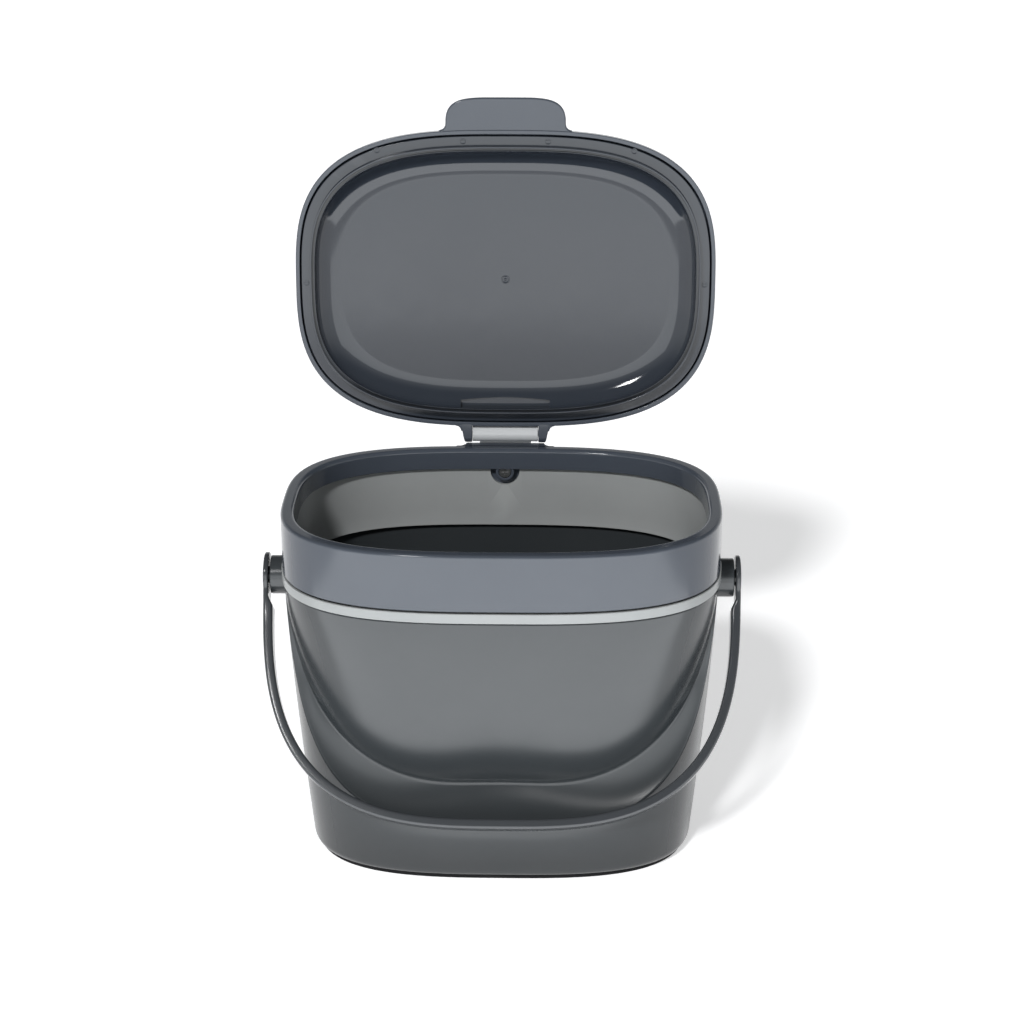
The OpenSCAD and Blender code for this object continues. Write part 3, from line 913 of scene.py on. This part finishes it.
@dataclass
class FootPad:
    """The dark rubber pad that the bucket stands on, with shallow grip grooves underneath."""

    plan: RimPlan
    half_a: float = 89.2
    half_b: float = 58.5
    height: float = 2.4
    groove_ins: tuple[float, ...] = (6.0, 12.0, 18.0)
    groove_w: float = 2.4
    groove_deep: float = 0.7
    groove_slope: float = 0.4
    groove_round: float = 0.2
    flat_in: float = 40.0
    count: int = 128

    def build(self) -> bmesh.types.BMesh:
        """Lofts the pad from the middle of its top, round its edge, to the middle of its grooved underside.

        Returns:
            The pad.
        """
        section = [Corner(self.flat_in, self.height), Corner(0.0, self.height, 0.2), Corner(0.0, 0.0, 0.6)]
        for inset in self.groove_ins:
            end = inset + self.groove_w
            section += [Corner(across, up, self.groove_round) for across, up in (
                (inset, 0.0), (inset + self.groove_slope, self.groove_deep),
                (end - self.groove_slope, self.groove_deep), (end, 0.0))]
        section.append(Corner(self.flat_in, 0.0))
        angles = self.plan.columns(self.count)
        rings = [[Vector((0, 0, self.height))] * self.count]
        rings += [self.plan.sized_ring(angles, self.half_a - s, self.half_b - s, z)
                  for s, z in trace(section, False, 3)]
        rings += [[Vector((0, 0, 0))] * self.count]
        return Loft(rings[0]).rise(rings[1:]).done()


@dataclass
class TrimRing:
    """The pale band under the collar, with the neck that rises inside it and plugs into the bucket."""

    plan: RimPlan
    band_z: float = 137.4
    band_top_z: float = 142.2
    proud: float = 0.4
    neck_in: float = 2.5
    neck_wall: float = 1.6
    neck_top_z: float = 167.3
    plug_in: float = 3.3
    plug_z: float = 129.7
    notch_r: float = 7.2
    notch_z: float = 158.0
    pivot_z: float = 130.2
    boss_gap_r: float = 9.6
    plug_taper: float = 1.2
    plug_round: float = 0.4
    groove_in: float = 0.55
    groove_deep: float = 2.6
    neck_round: float = 0.5
    neck_taper: float = 0.6
    neck_root_z: float = 137.0
    count: int = 192

    def build(self) -> bmesh.types.BMesh:
        """Lofts the ring and cuts the notch and the two boss clearances.

        Returns:
            The band with its neck.
        """
        inner = self.neck_in + self.neck_wall
        plug_low = self.plug_in + self.plug_taper
        groove_z = self.band_top_z - self.groove_deep
        section = trace([
            Corner(plug_low + self.neck_wall, self.plug_z, self.plug_round),
            Corner(plug_low, self.plug_z, self.plug_round),
            Corner(self.plug_in, self.band_z + 0.1), Corner(-self.proud, self.band_z, 0.6),
            Corner(-self.proud, self.band_top_z, 0.35), Corner(self.groove_in, self.band_top_z, 0.15),
            Corner(self.groove_in + 0.2, groove_z), Corner(self.neck_in, groove_z),
            Corner(self.neck_in, self.neck_top_z, self.neck_round),
            Corner(inner, self.neck_top_z, self.neck_round),
            Corner(inner + self.neck_taper, self.neck_root_z)], True, 4)
        angles = self.plan.columns(self.count)
        rings = [self.plan.ring(angles, s, z) for s, z in section + section[:1]]
        ring = Loft(rings[0]).rise(rings[1:]).done()
        mouth = [(-self.notch_r, 30.0), (-self.notch_r, 0.0)]
        mouth += [(self.notch_r * math.sin(q), -self.notch_r * math.cos(q)) for q in between(-1.5, 1.5, 33)]
        mouth += [(self.notch_r, 0.0), (self.notch_r, 30.0)]
        drop = Matrix.Translation((0, 0, self.notch_z))
        ring = carve(ring, plate(mouth, 0.0, 20.0, 0.0, drop @ xz_plane(80.0)), Cut.TAKE_AWAY)
        gap = disc_section(self.boss_gap_r, 99.5, 108.0, 0.0)
        for side in (1.0, -1.0):
            place = Matrix.Scale(side, 4, (1, 0, 0)) @ along_x(0.0, 0.0, self.pivot_z)
            ring = carve(ring, lathe(gap, place, 96), Cut.TAKE_AWAY)
        return ring


@dataclass
class Collar:
    """The dark rim: outer wall, rolled top, short inner skirt, hinge hump and inner screw boss."""

    plan: RimPlan
    low_z: float = 143.0
    top_z: float = 170.0
    width: float = 6.5
    wall: float = 2.0
    roof_z: float = 167.6
    skirt_z: float = 159.5
    hump_w: float = 49.2
    hump_t: float = 4.4
    hump_h: float = 19.0
    screw_z: float = 158.0
    boss_r: float = 4.6
    boss_y: float = 66.8
    sink_r: float = 3.2
    sink_t: float = 2.0
    hole_r: float = 1.6
    count: int = 192

    def build(self) -> bmesh.types.BMesh:
        """Lofts the collar and adds the hump and the boss.

        Returns:
            The collar.
        """
        w, skirt_out = self.wall, self.width - self.wall
        section = trace([
            Corner(w, self.low_z), Corner(0.0, self.low_z, 0.4), Corner(0.0, self.top_z, 1.5),
            Corner(self.width - 0.15, self.top_z, 2.0), Corner(self.width, self.skirt_z, 0.5),
            Corner(skirt_out, self.skirt_z), Corner(skirt_out, self.roof_z), Corner(w, self.roof_z)], True, 7)
        angles = self.plan.columns(self.count)
        rings = [self.plan.ring(angles, s, z) for s, z in section + section[:1]]
        collar = Loft(rings[0]).rise(rings[1:]).done()
        return join(collar, self.hump(), self.boss())

    def hump(self) -> bmesh.types.BMesh:
        """Builds the hump behind the collar with a hollow flare at each end.

        Returns:
            The hump.
        """
        root, deep = self.plan.half_d - 1.4, self.hump_t + 0.6
        quarter = between(0.0, math.pi / 2.0, 9)
        right = [(self.hump_w / 2 - deep * math.sin(q), 0.8 + deep * (1 - math.cos(q))) for q in quarter]
        left = [(-x, y) for x, y in reversed(right)]
        outline = [(self.hump_w / 2, 0.0)] + right + left + [(-self.hump_w / 2, 0.0)]
        low = self.top_z - self.hump_h
        return plate(outline, low, self.top_z, 0.7, Matrix.Translation((0, root, 0)))

    def boss(self) -> bmesh.types.BMesh:
        """Builds the screw boss inside the collar, with its sunk seat.

        Returns:
            The boss.
        """
        back = self.plan.half_d - 1.0
        long = back - self.boss_y
        section = trace([
            Corner(self.hole_r, 0.0), Corner(self.boss_r, 0.0), Corner(self.boss_r, long, 0.4),
            Corner(self.sink_r, long, 0.2), Corner(self.sink_r, long - self.sink_t),
            Corner(self.hole_r, long - self.sink_t), Corner(self.hole_r, 0.0)], False, 4)
        return lathe(section, along_y(0.0, back, self.screw_z), 48)


@dataclass
class HingeBracket:
    """The pale barrel of the hinge with the leg that fastens it behind the collar."""

    half_l: float = 16.3
    barrel_r: float = 4.0
    bore_r: float = 1.55
    axis_y: float = 77.4
    axis_z: float = 174.8
    leg_w: float = 25.6
    leg_t: float = 2.5
    leg_low: float = 152.0
    leg_round: float = 4.0
    leg_under: float = 2.2
    screw_z: float = 158.0

    def build(self) -> bmesh.types.BMesh:
        """Joins the barrel and the leg and bores the screw hole.

        Returns:
            The barrel with its leg.
        """
        section = trace([
            Corner(self.bore_r, -self.half_l), Corner(self.barrel_r, -self.half_l, 0.35),
            Corner(self.barrel_r, self.half_l, 0.35), Corner(self.bore_r, self.half_l),
            Corner(self.bore_r, -self.half_l)], False)
        barrel = lathe(section, along_x(0.0, self.axis_y, self.axis_z), 80)
        half, r = self.leg_w / 2, self.leg_round
        turns = between(0.0, math.pi / 2.0, 7)
        right = [(half - r + r * math.sin(q), self.leg_low + r - r * math.cos(q)) for q in turns]
        high = self.axis_z - self.leg_under
        outline = right + [(half, high), (-half, high)] + [(-x, z) for x, z in reversed(right)]
        leg = plate(outline, -self.leg_t, 0.0, 0.4, xz_plane(self.axis_y))
        hole = lathe(disc_section(self.bore_r, -5.0, 5.0, 0.0), along_y(0.0, self.axis_y, self.screw_z), 40)
        return join(barrel, carve(leg, hole, Cut.TAKE_AWAY))


@dataclass
class Lid:
    """Sizes that the lid's shell and liner share, and the turn that rests it open."""

    plan: RimPlan
    low_z: float = 170.8
    high: float = 9.2
    crown: float = 1.4
    wall: float = 2.0
    roof_z: float = 178.4
    axis_y: float = 77.4
    axis_z: float = 174.8
    open_deg: float = 95.9
    count: int = 192

    def swing(self, bm: bmesh.types.BMesh) -> bmesh.types.BMesh:
        """Turns a mesh drawn on the closed lid to where the lid rests open.

        Args:
            bm: The mesh, turned in place.

        Returns:
            The same mesh.
        """
        axis = Matrix.Translation((0, self.axis_y, self.axis_z))
        turn = axis @ Matrix.Rotation(-math.radians(self.open_deg), 4, "X") @ axis.inverted()
        bmesh.ops.transform(bm, matrix=turn, verts=bm.verts)
        return bm


@dataclass
class LidShell(Lid):
    """The lid's outer shell with the lifting tab and two hinge arms."""

    tab_w: float = 58.0
    tab_l: float = 15.4
    tab_t: float = 3.0
    arm_x: float = 16.45
    arm_t: float = 3.6
    arm_taper: float = 1.9
    knuckle_r: float = 4.45
    bore_r: float = 1.55
    shoulder_r: float = 3.6
    tab_root: float = 2.8
    tab_flare: float = 3.0
    tab_lift: float = 0.6
    arm_flare: float = 2.6

    def build(self) -> bmesh.types.BMesh:
        """Lofts the cup and adds the tab and the arms.

        Returns:
            The shell where it rests open.
        """
        top = self.low_z + self.high
        section = trace([
            Corner(self.wall + 30.0, self.roof_z), Corner(self.wall, self.roof_z, 1.2),
            Corner(self.wall, self.low_z, 0.3), Corner(0.0, self.low_z, 0.4),
            Corner(0.0, top - 0.4, self.shoulder_r), Corner(20.0, top + 0.6),
            Corner(45.0, top + self.crown)], False, 8)
        angles = self.plan.columns(self.count)
        rings = [[Vector((0, 0, self.roof_z))] * self.count]
        rings += [self.plan.ring(angles, s, z) for s, z in section]
        rings += [[Vector((0, 0, top + self.crown))] * self.count]
        cup = Loft(rings[0]).rise(rings[1:]).done()
        shell = join(cup, self.tab(), mirror_x(self.arm()))
        return self.swing(shell)

    def tab(self) -> bmesh.types.BMesh:
        """Builds the lifting tab with flared roots.

        Returns:
            The tab on the closed lid.
        """
        half, r = self.tab_w / 2, self.tab_flare
        quarter = between(0.0, math.pi / 2.0, 7)
        outline = [(-half - r, 2.5)]
        outline += [(-half - r + r * math.sin(q), 0.2 - r * (1 - math.cos(q))) for q in quarter]
        for q in between(0.0, math.pi, 49)[1:-1]:
            side = math.copysign(abs(math.cos(q)) ** 0.42, math.cos(q))
            outline.append((-half * side,
                            -self.tab_root - (self.tab_l - self.tab_root) * math.sin(q) ** 0.72))
        outline += [(half + r - r * math.sin(q), 0.2 - r * (1 - math.cos(q))) for q in reversed(quarter)]
        outline.append((half + r, 2.5))
        low = self.low_z + self.tab_lift
        return plate(outline, low, low + self.tab_t, 0.8, Matrix.Translation((0, -self.plan.half_d, 0)))

    def arm(self) -> bmesh.types.BMesh:
        """Builds the right hinge arm: a knuckle on a web, flared where it leaves the lid.

        Returns:
            The arm on the closed lid.
        """
        r, back = self.knuckle_r, self.plan.half_d - 1.0
        outline = [(back, self.low_z)]
        outline += [(self.axis_y + r * math.cos(q), self.axis_z + r * math.sin(q))
                    for q in between(-math.pi / 2.0 + 0.35, math.pi / 2.0, 22)]
        outline += [(back, self.axis_z + r)]
        arm = plate(outline, 0.0, self.arm_t, 0.4, yz_plane(self.arm_x))
        length = self.axis_y + r - self.plan.half_d
        for vert in arm.verts:
            if vert.co.x > self.arm_x + self.arm_t / 2:
                share = 1.0 - (vert.co.y - self.plan.half_d) / length
                vert.co.x += self.arm_taper * min(1.0, max(0.0, share))
        bore = disc_section(self.bore_r, -1.0, self.arm_t + 2.0, 0.0)
        arm = carve(arm, lathe(bore, along_x(self.arm_x, self.axis_y, self.axis_z), 40), Cut.TAKE_AWAY)
        f, lift = self.arm_flare, 0.6
        flare = [(-1.0, 0.0)]
        flare += [(f - f * math.sin(q), lift + f - f * math.cos(q)) for q in between(0.0, math.pi / 2.0, 7)]
        flare += [(-1.0, lift + f)]
        place = Matrix.Translation((self.arm_x + self.arm_t + self.arm_taper, self.plan.half_d - 0.8, 0))
        return join(arm, plate(flare, self.low_z, self.axis_z + 3.0, 0.3, place))


@dataclass
class LidLiner(Lid):
    """The lid's inner liner: land, sealing rib, hollow shoulder, dish and the pocket by the hinge."""

    land_in: float = 2.8
    rib_in: float = 7.4
    rib_t: float = 0.9
    rib_h: float = 5.0
    sheet: float = 1.6
    dish: float = 4.2
    dish_in: float = 17.0
    roll_in: float = 22.5
    moat: float = 1.3
    groove_deep: float = 2.4
    edge_r: float = 0.25
    pocket_w: float = 44.0
    pocket_y: float = 58.7

    def build(self) -> bmesh.types.BMesh:
        """Lofts the liner, sinks the pocket and sets the moulding marks.

        Returns:
            The liner where it rests open.
        """
        low, dish_z = self.low_z, self.low_z + self.dish
        rib_out, tip_z, back = self.rib_in + self.rib_t, low - self.rib_h, self.sheet
        foot_in, foot_z = rib_out + self.moat, tip_z + 1.2
        run, rise = self.roll_in - foot_in, dish_z - foot_z
        lip_in, groove_z = foot_in - 0.25, foot_z + self.groove_deep
        face = [Corner(self.roll_in - run * math.sin(q), foot_z + rise * math.cos(q))
                for q in between(0.0, math.pi / 2.0, 22)]
        face += [Corner(lip_in, foot_z, 0.1), Corner(lip_in, groove_z), Corner(rib_out, groove_z),
                 Corner(rib_out, tip_z, self.edge_r), Corner(self.rib_in, tip_z, self.edge_r),
                 Corner(self.rib_in, low, self.edge_r), Corner(self.land_in, low, 0.3),
                 Corner(self.land_in, low + back), Corner(rib_out - 0.6, low + back),
                 Corner(rib_out + 1.4, dish_z - 1.9 + back), Corner(self.dish_in - 4.0, dish_z - 0.5 + back),
                 Corner(self.dish_in + 4.0, dish_z + back)]
        angles = self.plan.columns(self.count)
        rings = [[Vector((0, 0, dish_z))] * self.count]
        rings += [self.plan.ring(angles, s, z) for s, z in trace(face, False, 7)]
        rings += [[Vector((0, 0, dish_z + self.sheet))] * self.count]
        liner = Loft(rings[0]).rise(rings[1:]).done()
        liner = carve(liner, self.pocket(1.4, dish_z - 0.4, self.roof_z), Cut.ADD)
        liner = carve(liner, self.pocket(0.0, foot_z - 1.0, dish_z - 1.0), Cut.TAKE_AWAY)
        return self.swing(join(liner, self.marks()))

    def pocket(self, grow: float, low: float, high: float) -> bmesh.types.BMesh:
        """Gives the pocket's block, or its hollow when grow is 0.

        Args:
            grow: How far the block stands out past the hollow.
            low: Lower end.
            high: Upper end.

        Returns:
            The block on the closed lid.
        """
        half = self.pocket_w / 2 + grow
        deep = self.plan.half_d - self.rib_in - self.rib_t - self.pocket_y - 1.6 + grow
        outline = [(half, deep), (-half, deep)]
        outline += [(x, -grow + 1.2 * (x / half) ** 2) for x in between(-half, half, 25)]
        return plate(outline, low, high, 0.0, Matrix.Translation((0, self.pocket_y, 0)))

    def marks(self) -> bmesh.types.BMesh:
        """Builds the faint ejector marks on the land and the gate mark in the middle of the dish.

        Returns:
            The marks on the closed lid.
        """
        spots = [(97.3, 1.4), (-97.3, 1.4), (20.5, -67.6), (-20.5, -67.6), (62.0, -63.2), (-62.0, -63.2)]
        flat = Matrix.Rotation(math.pi, 4, "X")
        bm = bmesh.new()
        for x, y in spots:
            ring = trace([Corner(0.0, 0.02), Corner(1.05, 0.02), Corner(1.3, 0.09), Corner(1.5, -0.1)], False)
            join(bm, lathe(ring, Matrix.Translation((x, y, self.low_z)) @ flat, 32))
        gate = [(0.0, 0.25), (0.5, 0.2), (0.7, 0.02), (1.5, 0.02), (1.7, 0.16), (2.0, 0.16), (2.2, -0.1)]
        return join(bm, lathe(gate, Matrix.Translation((0, 0, self.low_z + self.dish)) @ flat, 40))


@dataclass
class Handle:
    """The bail: a bowed strap with a flat eye and a peg at each end, leaning on the scoop's lip."""

    reach_x: float = 112.6
    reach_z: float = 120.4
    power: float = 3.0
    eye_x: float = 110.2
    eye_t: float = 2.4
    eye_r: float = 10.6
    strap_t: float = 4.6
    strap_w: float = 11.0
    step_z: float = 12.0
    step_l: float = 5.0
    flare_z: float = 24.0
    soft: float = 1.3
    peg_r: float = 4.0
    peg_root: float = 102.7
    pivot_z: float = 130.2
    lean_deg: float = 35.7
    rings: int = 220

    def section(self, angle: float) -> Ring:
        """Gives the strap's rounded section at an angle below the pivot axis.

        Args:
            angle: Angle below the pivot axis, in radians.

        Returns:
            The section's points.
        """
        n = self.power
        out = ((abs(math.cos(angle)) / self.reach_x) ** n
               + (abs(math.sin(angle)) / self.reach_z) ** n) ** (-1.0 / n)
        drop = out * math.sin(angle)
        share = min(1.0, max(0.0, (drop - self.step_z) / self.step_l))
        thick = self.eye_t + (self.strap_t - self.eye_t) * share
        if drop < self.step_z + self.step_l:
            thick /= abs(math.cos(angle))
        wide = self.strap_w / 2
        if drop < self.flare_z:
            wide += (self.eye_r - self.strap_w / 2) * 0.75 * (1.0 - drop / self.flare_z) ** 2
        soft = min(self.soft, thick * 0.42)
        corners = [Corner(out - thick, -wide, soft), Corner(out, -wide, soft), Corner(out, wide, soft),
                   Corner(out - thick, wide, soft)]
        return [Vector((r * math.cos(angle), y, -r * math.sin(angle))) for r, y in trace(corners, True, 5)]

    def build(self) -> bmesh.types.BMesh:
        """Lofts the strap and adds eyes and pegs.

        Returns:
            The bail where it leans on the scoop's lip.
        """
        start = math.radians(2.0)
        rings = [self.section(q) for q in between(start, math.pi - start, self.rings)]
        strap = Loft(rings[0]).rise(rings[1:]).cap().done()
        for side in (1.0, -1.0):
            place = Matrix.Scale(side, 4, (1, 0, 0)) @ along_x(0.0, 0.0, 0.0)
            eye = lathe(disc_section(self.eye_r, self.eye_x, self.eye_x + self.eye_t, 0.8), place, 96)
            strap = carve(strap, eye, Cut.ADD)
        peg = lathe(disc_section(self.peg_r, self.peg_root, self.eye_x + 1.0, 0.3),
                    along_x(0.0, 0.0, 0.0), 48)
        bail = join(strap, mirror_x(peg))
        lean = Matrix.Rotation(-math.radians(self.lean_deg), 4, "X")
        turn = Matrix.Translation((0, 0, self.pivot_z)) @ lean
        bmesh.ops.transform(bail, matrix=turn, verts=bail.verts)
        return bail


# Light, floor and camera


@dataclass(frozen=True)
class Softbox:
    """A soft rectangular lamp.

    Attributes:
        name: Name of the lamp.
        place: Position in metres.
        aim: Point it faces.
        size: Width and height in metres.
        power: Power in watts.
        colour: Colour of the light.
        only_glint: Whether it shows only as a highlight.
    """

    name: str
    place: tuple[float, float, float]
    aim: tuple[float, float, float]
    size: tuple[float, float]
    power: float
    colour: tuple[float, float, float] = (1.0, 1.0, 1.0)
    only_glint: bool = False

    def hang(self) -> bpy.types.Object:
        """Hangs the lamp.

        Returns:
            The lamp's object.
        """
        lamp = bpy.data.lights.new(self.name, "AREA")
        lamp.shape = "RECTANGLE"
        lamp.size, lamp.size_y = self.size
        lamp.energy = self.power
        lamp.color = self.colour
        obj = show(self.name, lamp)
        obj.visible_camera = False
        obj.visible_diffuse = not self.only_glint
        obj.location = self.place
        obj.rotation_euler = (Vector(self.aim) - Vector(self.place)).to_track_quat("-Z", "Y").to_euler()
        return obj


@dataclass(frozen=True)
class WindowLight:
    """Parallel light from the front left with soft shadow edges.

    Attributes:
        azimuth_deg: Direction it comes from, turned from the front towards the left.
        height_deg: Height above the horizon.
        level: Strength; pi lights a white surface to white.
        spread_deg: Angle that the light source covers.
    """

    azimuth_deg: float = 19.5
    height_deg: float = 40.0
    level: float = 2.55
    spread_deg: float = 7.5

    def hang(self) -> bpy.types.Object:
        """Sets the light.

        Returns:
            The lamp's object.
        """
        lamp = bpy.data.lights.new("window_light", "SUN")
        lamp.energy = self.level
        lamp.angle = math.radians(self.spread_deg)
        obj = show("window_light", lamp)
        obj.visible_glossy = False
        azimuth, height = math.radians(self.azimuth_deg), math.radians(self.height_deg)
        flat = math.cos(height)
        source = Vector((-math.sin(azimuth) * flat, -math.cos(azimuth) * flat, math.sin(height)))
        obj.rotation_euler = (-source).to_track_quat("-Z", "Y").to_euler()
        return obj


@dataclass(frozen=True)
class Studio:
    """Pale floor, soft light and the camera."""

    floor_size: float = 14.0
    floor_colour: tuple[float, float, float] = (0.86, 0.86, 0.87)
    floor_lift: float = 0.52
    horizon: float = 1.0
    zenith: float = 0.09
    dome_top: float = 0.6
    dome_colour: tuple[float, float, float] = (0.97, 0.99, 1.0)
    lens: float = 80.79
    sensor: float = 36.0
    eye: tuple[float, float, float] = (0.0228, -1.0059, 0.5525)
    tilt_deg: float = 68.82
    turn_deg: float = 1.03
    window: WindowLight = WindowLight()
    lamps: tuple[Softbox, ...] = (
        Softbox("low_front_card", (0.0, -0.505, 0.01), (0.0, -0.505, 1.0), (0.8, 0.85), 3.3,
                (0.93, 0.97, 1.0)),
        Softbox("front_fill", (0.1, -2.6, 0.45), (0.0, 0.0, 0.12), (2.6, 0.9), 9.0, (0.93, 0.97, 1.0)),
        Softbox("window_glint", (-0.77, -2.17, 2.0), (0.0, 0.0, 0.1), (0.30, 0.40), 14.0,
                (1.0, 1.0, 1.0), True),
    )

    def build(self) -> None:
        """Sets up the floor, the world, the lamps, the camera and the view."""
        self._floor()
        self._world()
        self.window.hang()
        for lamp in self.lamps:
            lamp.hang()
        self._camera()
        bpy.context.scene.view_settings.view_transform = "Standard"

    def _floor(self) -> None:
        """Lays the pale floor."""
        bm = bmesh.new()
        bmesh.ops.create_grid(bm, x_segments=2, y_segments=2, size=self.floor_size / 2)
        mesh = hand_over("floor", bm)
        material = bpy.data.materials.new("pale_floor")
        material.use_nodes = True
        shader = material.node_tree.nodes["Principled BSDF"]
        shader.inputs["Base Color"].default_value = (*self.floor_colour, 1.0)
        shader.inputs["Roughness"].default_value = 0.6
        shader.inputs["Specular IOR Level"].default_value = 0.15
        self._lift(material)
        mesh.materials.append(material)
        show("floor", mesh)

    def _lift(self, material: bpy.types.Material) -> None:
        """Lifts the floor towards white for the camera and in reflections, so that it keeps its shadow.

        Args:
            material: The floor's material.
        """
        tree = material.node_tree
        path = lay(tree, "LightPath")
        glow = lay(tree, "Emission", {"Strength": self.floor_lift})
        none = lay(tree, "Emission", {"Strength": 0.0})
        pick, add = lay(tree, "MixShader"), lay(tree, "AddShader")
        seen, through = lay(tree, "Math", operation="MAXIMUM"), lay(tree, "Math", operation="MAXIMUM")
        wire(tree,
             (path, "Is Camera Ray", seen, 0), (path, "Is Glossy Ray", seen, 1),
             (seen, "Value", through, 0), (path, "Is Transmission Ray", through, 1),
             (through, "Value", pick, "Fac"),
             (none, "Emission", pick, 1), (glow, "Emission", pick, 2),
             (tree.nodes["Principled BSDF"], "BSDF", add, 0),
             (pick, "Shader", add, 1), (add, "Shader", tree.nodes["Material Output"], "Surface"))

    def _world(self) -> None:
        """Makes a dome that is bright at the horizon, dark overhead and plain white to the camera."""
        world = bpy.data.worlds.new("studio_dome")
        bpy.context.scene.world = world
        world.use_nodes = True
        tree = world.node_tree
        tree.nodes.clear()
        place, split, path = lay(tree, "TexCoord"), lay(tree, "SeparateXYZ"), lay(tree, "LightPath")
        level = lay(tree, "MapRange", {"From Min": 0.0, "From Max": self.dome_top, "To Min": self.horizon,
                                       "To Max": self.zenith}, interpolation_type="SMOOTHSTEP")
        dome = lay(tree, "Background", {"Color": (*self.dome_colour, 1.0)})
        white = lay(tree, "Background", {"Color": (1.0, 1.0, 1.0, 1.0)})
        mix, out = lay(tree, "MixShader"), lay(tree, "OutputWorld")
        wire(tree,
             (place, "Generated", split, "Vector"), (split, "Z", level, "Value"),
             (level, "Result", dome, "Strength"),
             (path, "Is Camera Ray", mix, "Fac"), (dome, "Background", mix, 1), (white, "Background", mix, 2),
             (mix, "Shader", out, "Surface"))

    def _camera(self) -> None:
        """Places the camera at the photograph's viewing angle."""
        camera = bpy.data.cameras.new("camera")
        camera.lens = self.lens
        camera.sensor_width = self.sensor
        obj = show("camera", camera)
        obj.location = self.eye
        obj.rotation_euler = (math.radians(self.tilt_deg), 0.0, math.radians(self.turn_deg))
        bpy.context.scene.camera = obj


def main() -> None:
    """Builds every piece of the caddy in order and dresses what comes over from the CAD model."""
    logging.basicConfig(level=logging.INFO, format="%(name)s: %(message)s")
    plan, groups = RimPlan(), ShadeGroups()
    finishes = {f.name: f.make(groups) for f in (
        BUCKET_FINISH, RIM_FINISH, LINER_FINISH, HANDLE_FINISH, PALE_FINISH, BARREL_PAINTED_LIGHTER_FINISH, FOOT_FINISH,
        STEEL_FINISH)}
    orders: list[tuple[Callable[[], bmesh.types.BMesh], Piece, MouldedFinish]] = [
        (Bucket(plan).build, Piece("bucket_moulding", Body.CADDY, "bucket_plastic", ("bucket",)),
         BUCKET_FINISH),
        (FootPad(plan).build, Piece("foot_rubber_pad", Body.CADDY, "foot_rubber", ("foot_pad",)),
         FOOT_FINISH),
        (TrimRing(plan).build, Piece("trim_moulding", Body.CADDY, "pale_plastic", ("trim_ring",)),
         PALE_FINISH),
        (Collar(plan).build, Piece("collar_moulding", Body.CADDY, "rim_plastic", ("collar",)), RIM_FINISH),
        (HingeBracket().build, Piece("hinge_barrel", Body.CADDY, "pale_plastic", ("hinge_bracket",)),
         BARREL_PAINTED_LIGHTER_FINISH),
        (LidShell(plan).build, Piece("lid_outer", Body.LID, "rim_plastic", ("lid_shell",)), RIM_FINISH),
        (LidLiner(plan).build, Piece("lid_inner", Body.LID, "liner_plastic", ("lid_liner",)), LINER_FINISH),
        (Handle().build, Piece("bail_handle", Body.BAIL, "handle_plastic", ("handle",)), HANDLE_FINISH),
    ]
    for build, piece, finish in orders:
        finish_piece(build(), piece, finishes[finish.name])
    for node in ("hinge_pin", "hinge_screw"):
        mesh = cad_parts[node].data
        mesh.materials.clear()
        mesh.materials.append(finishes[STEEL_FINISH.name])
        LOG.info("%s: kept from the frame", node)
    Studio().build()


if __name__ == "__main__":
    main()
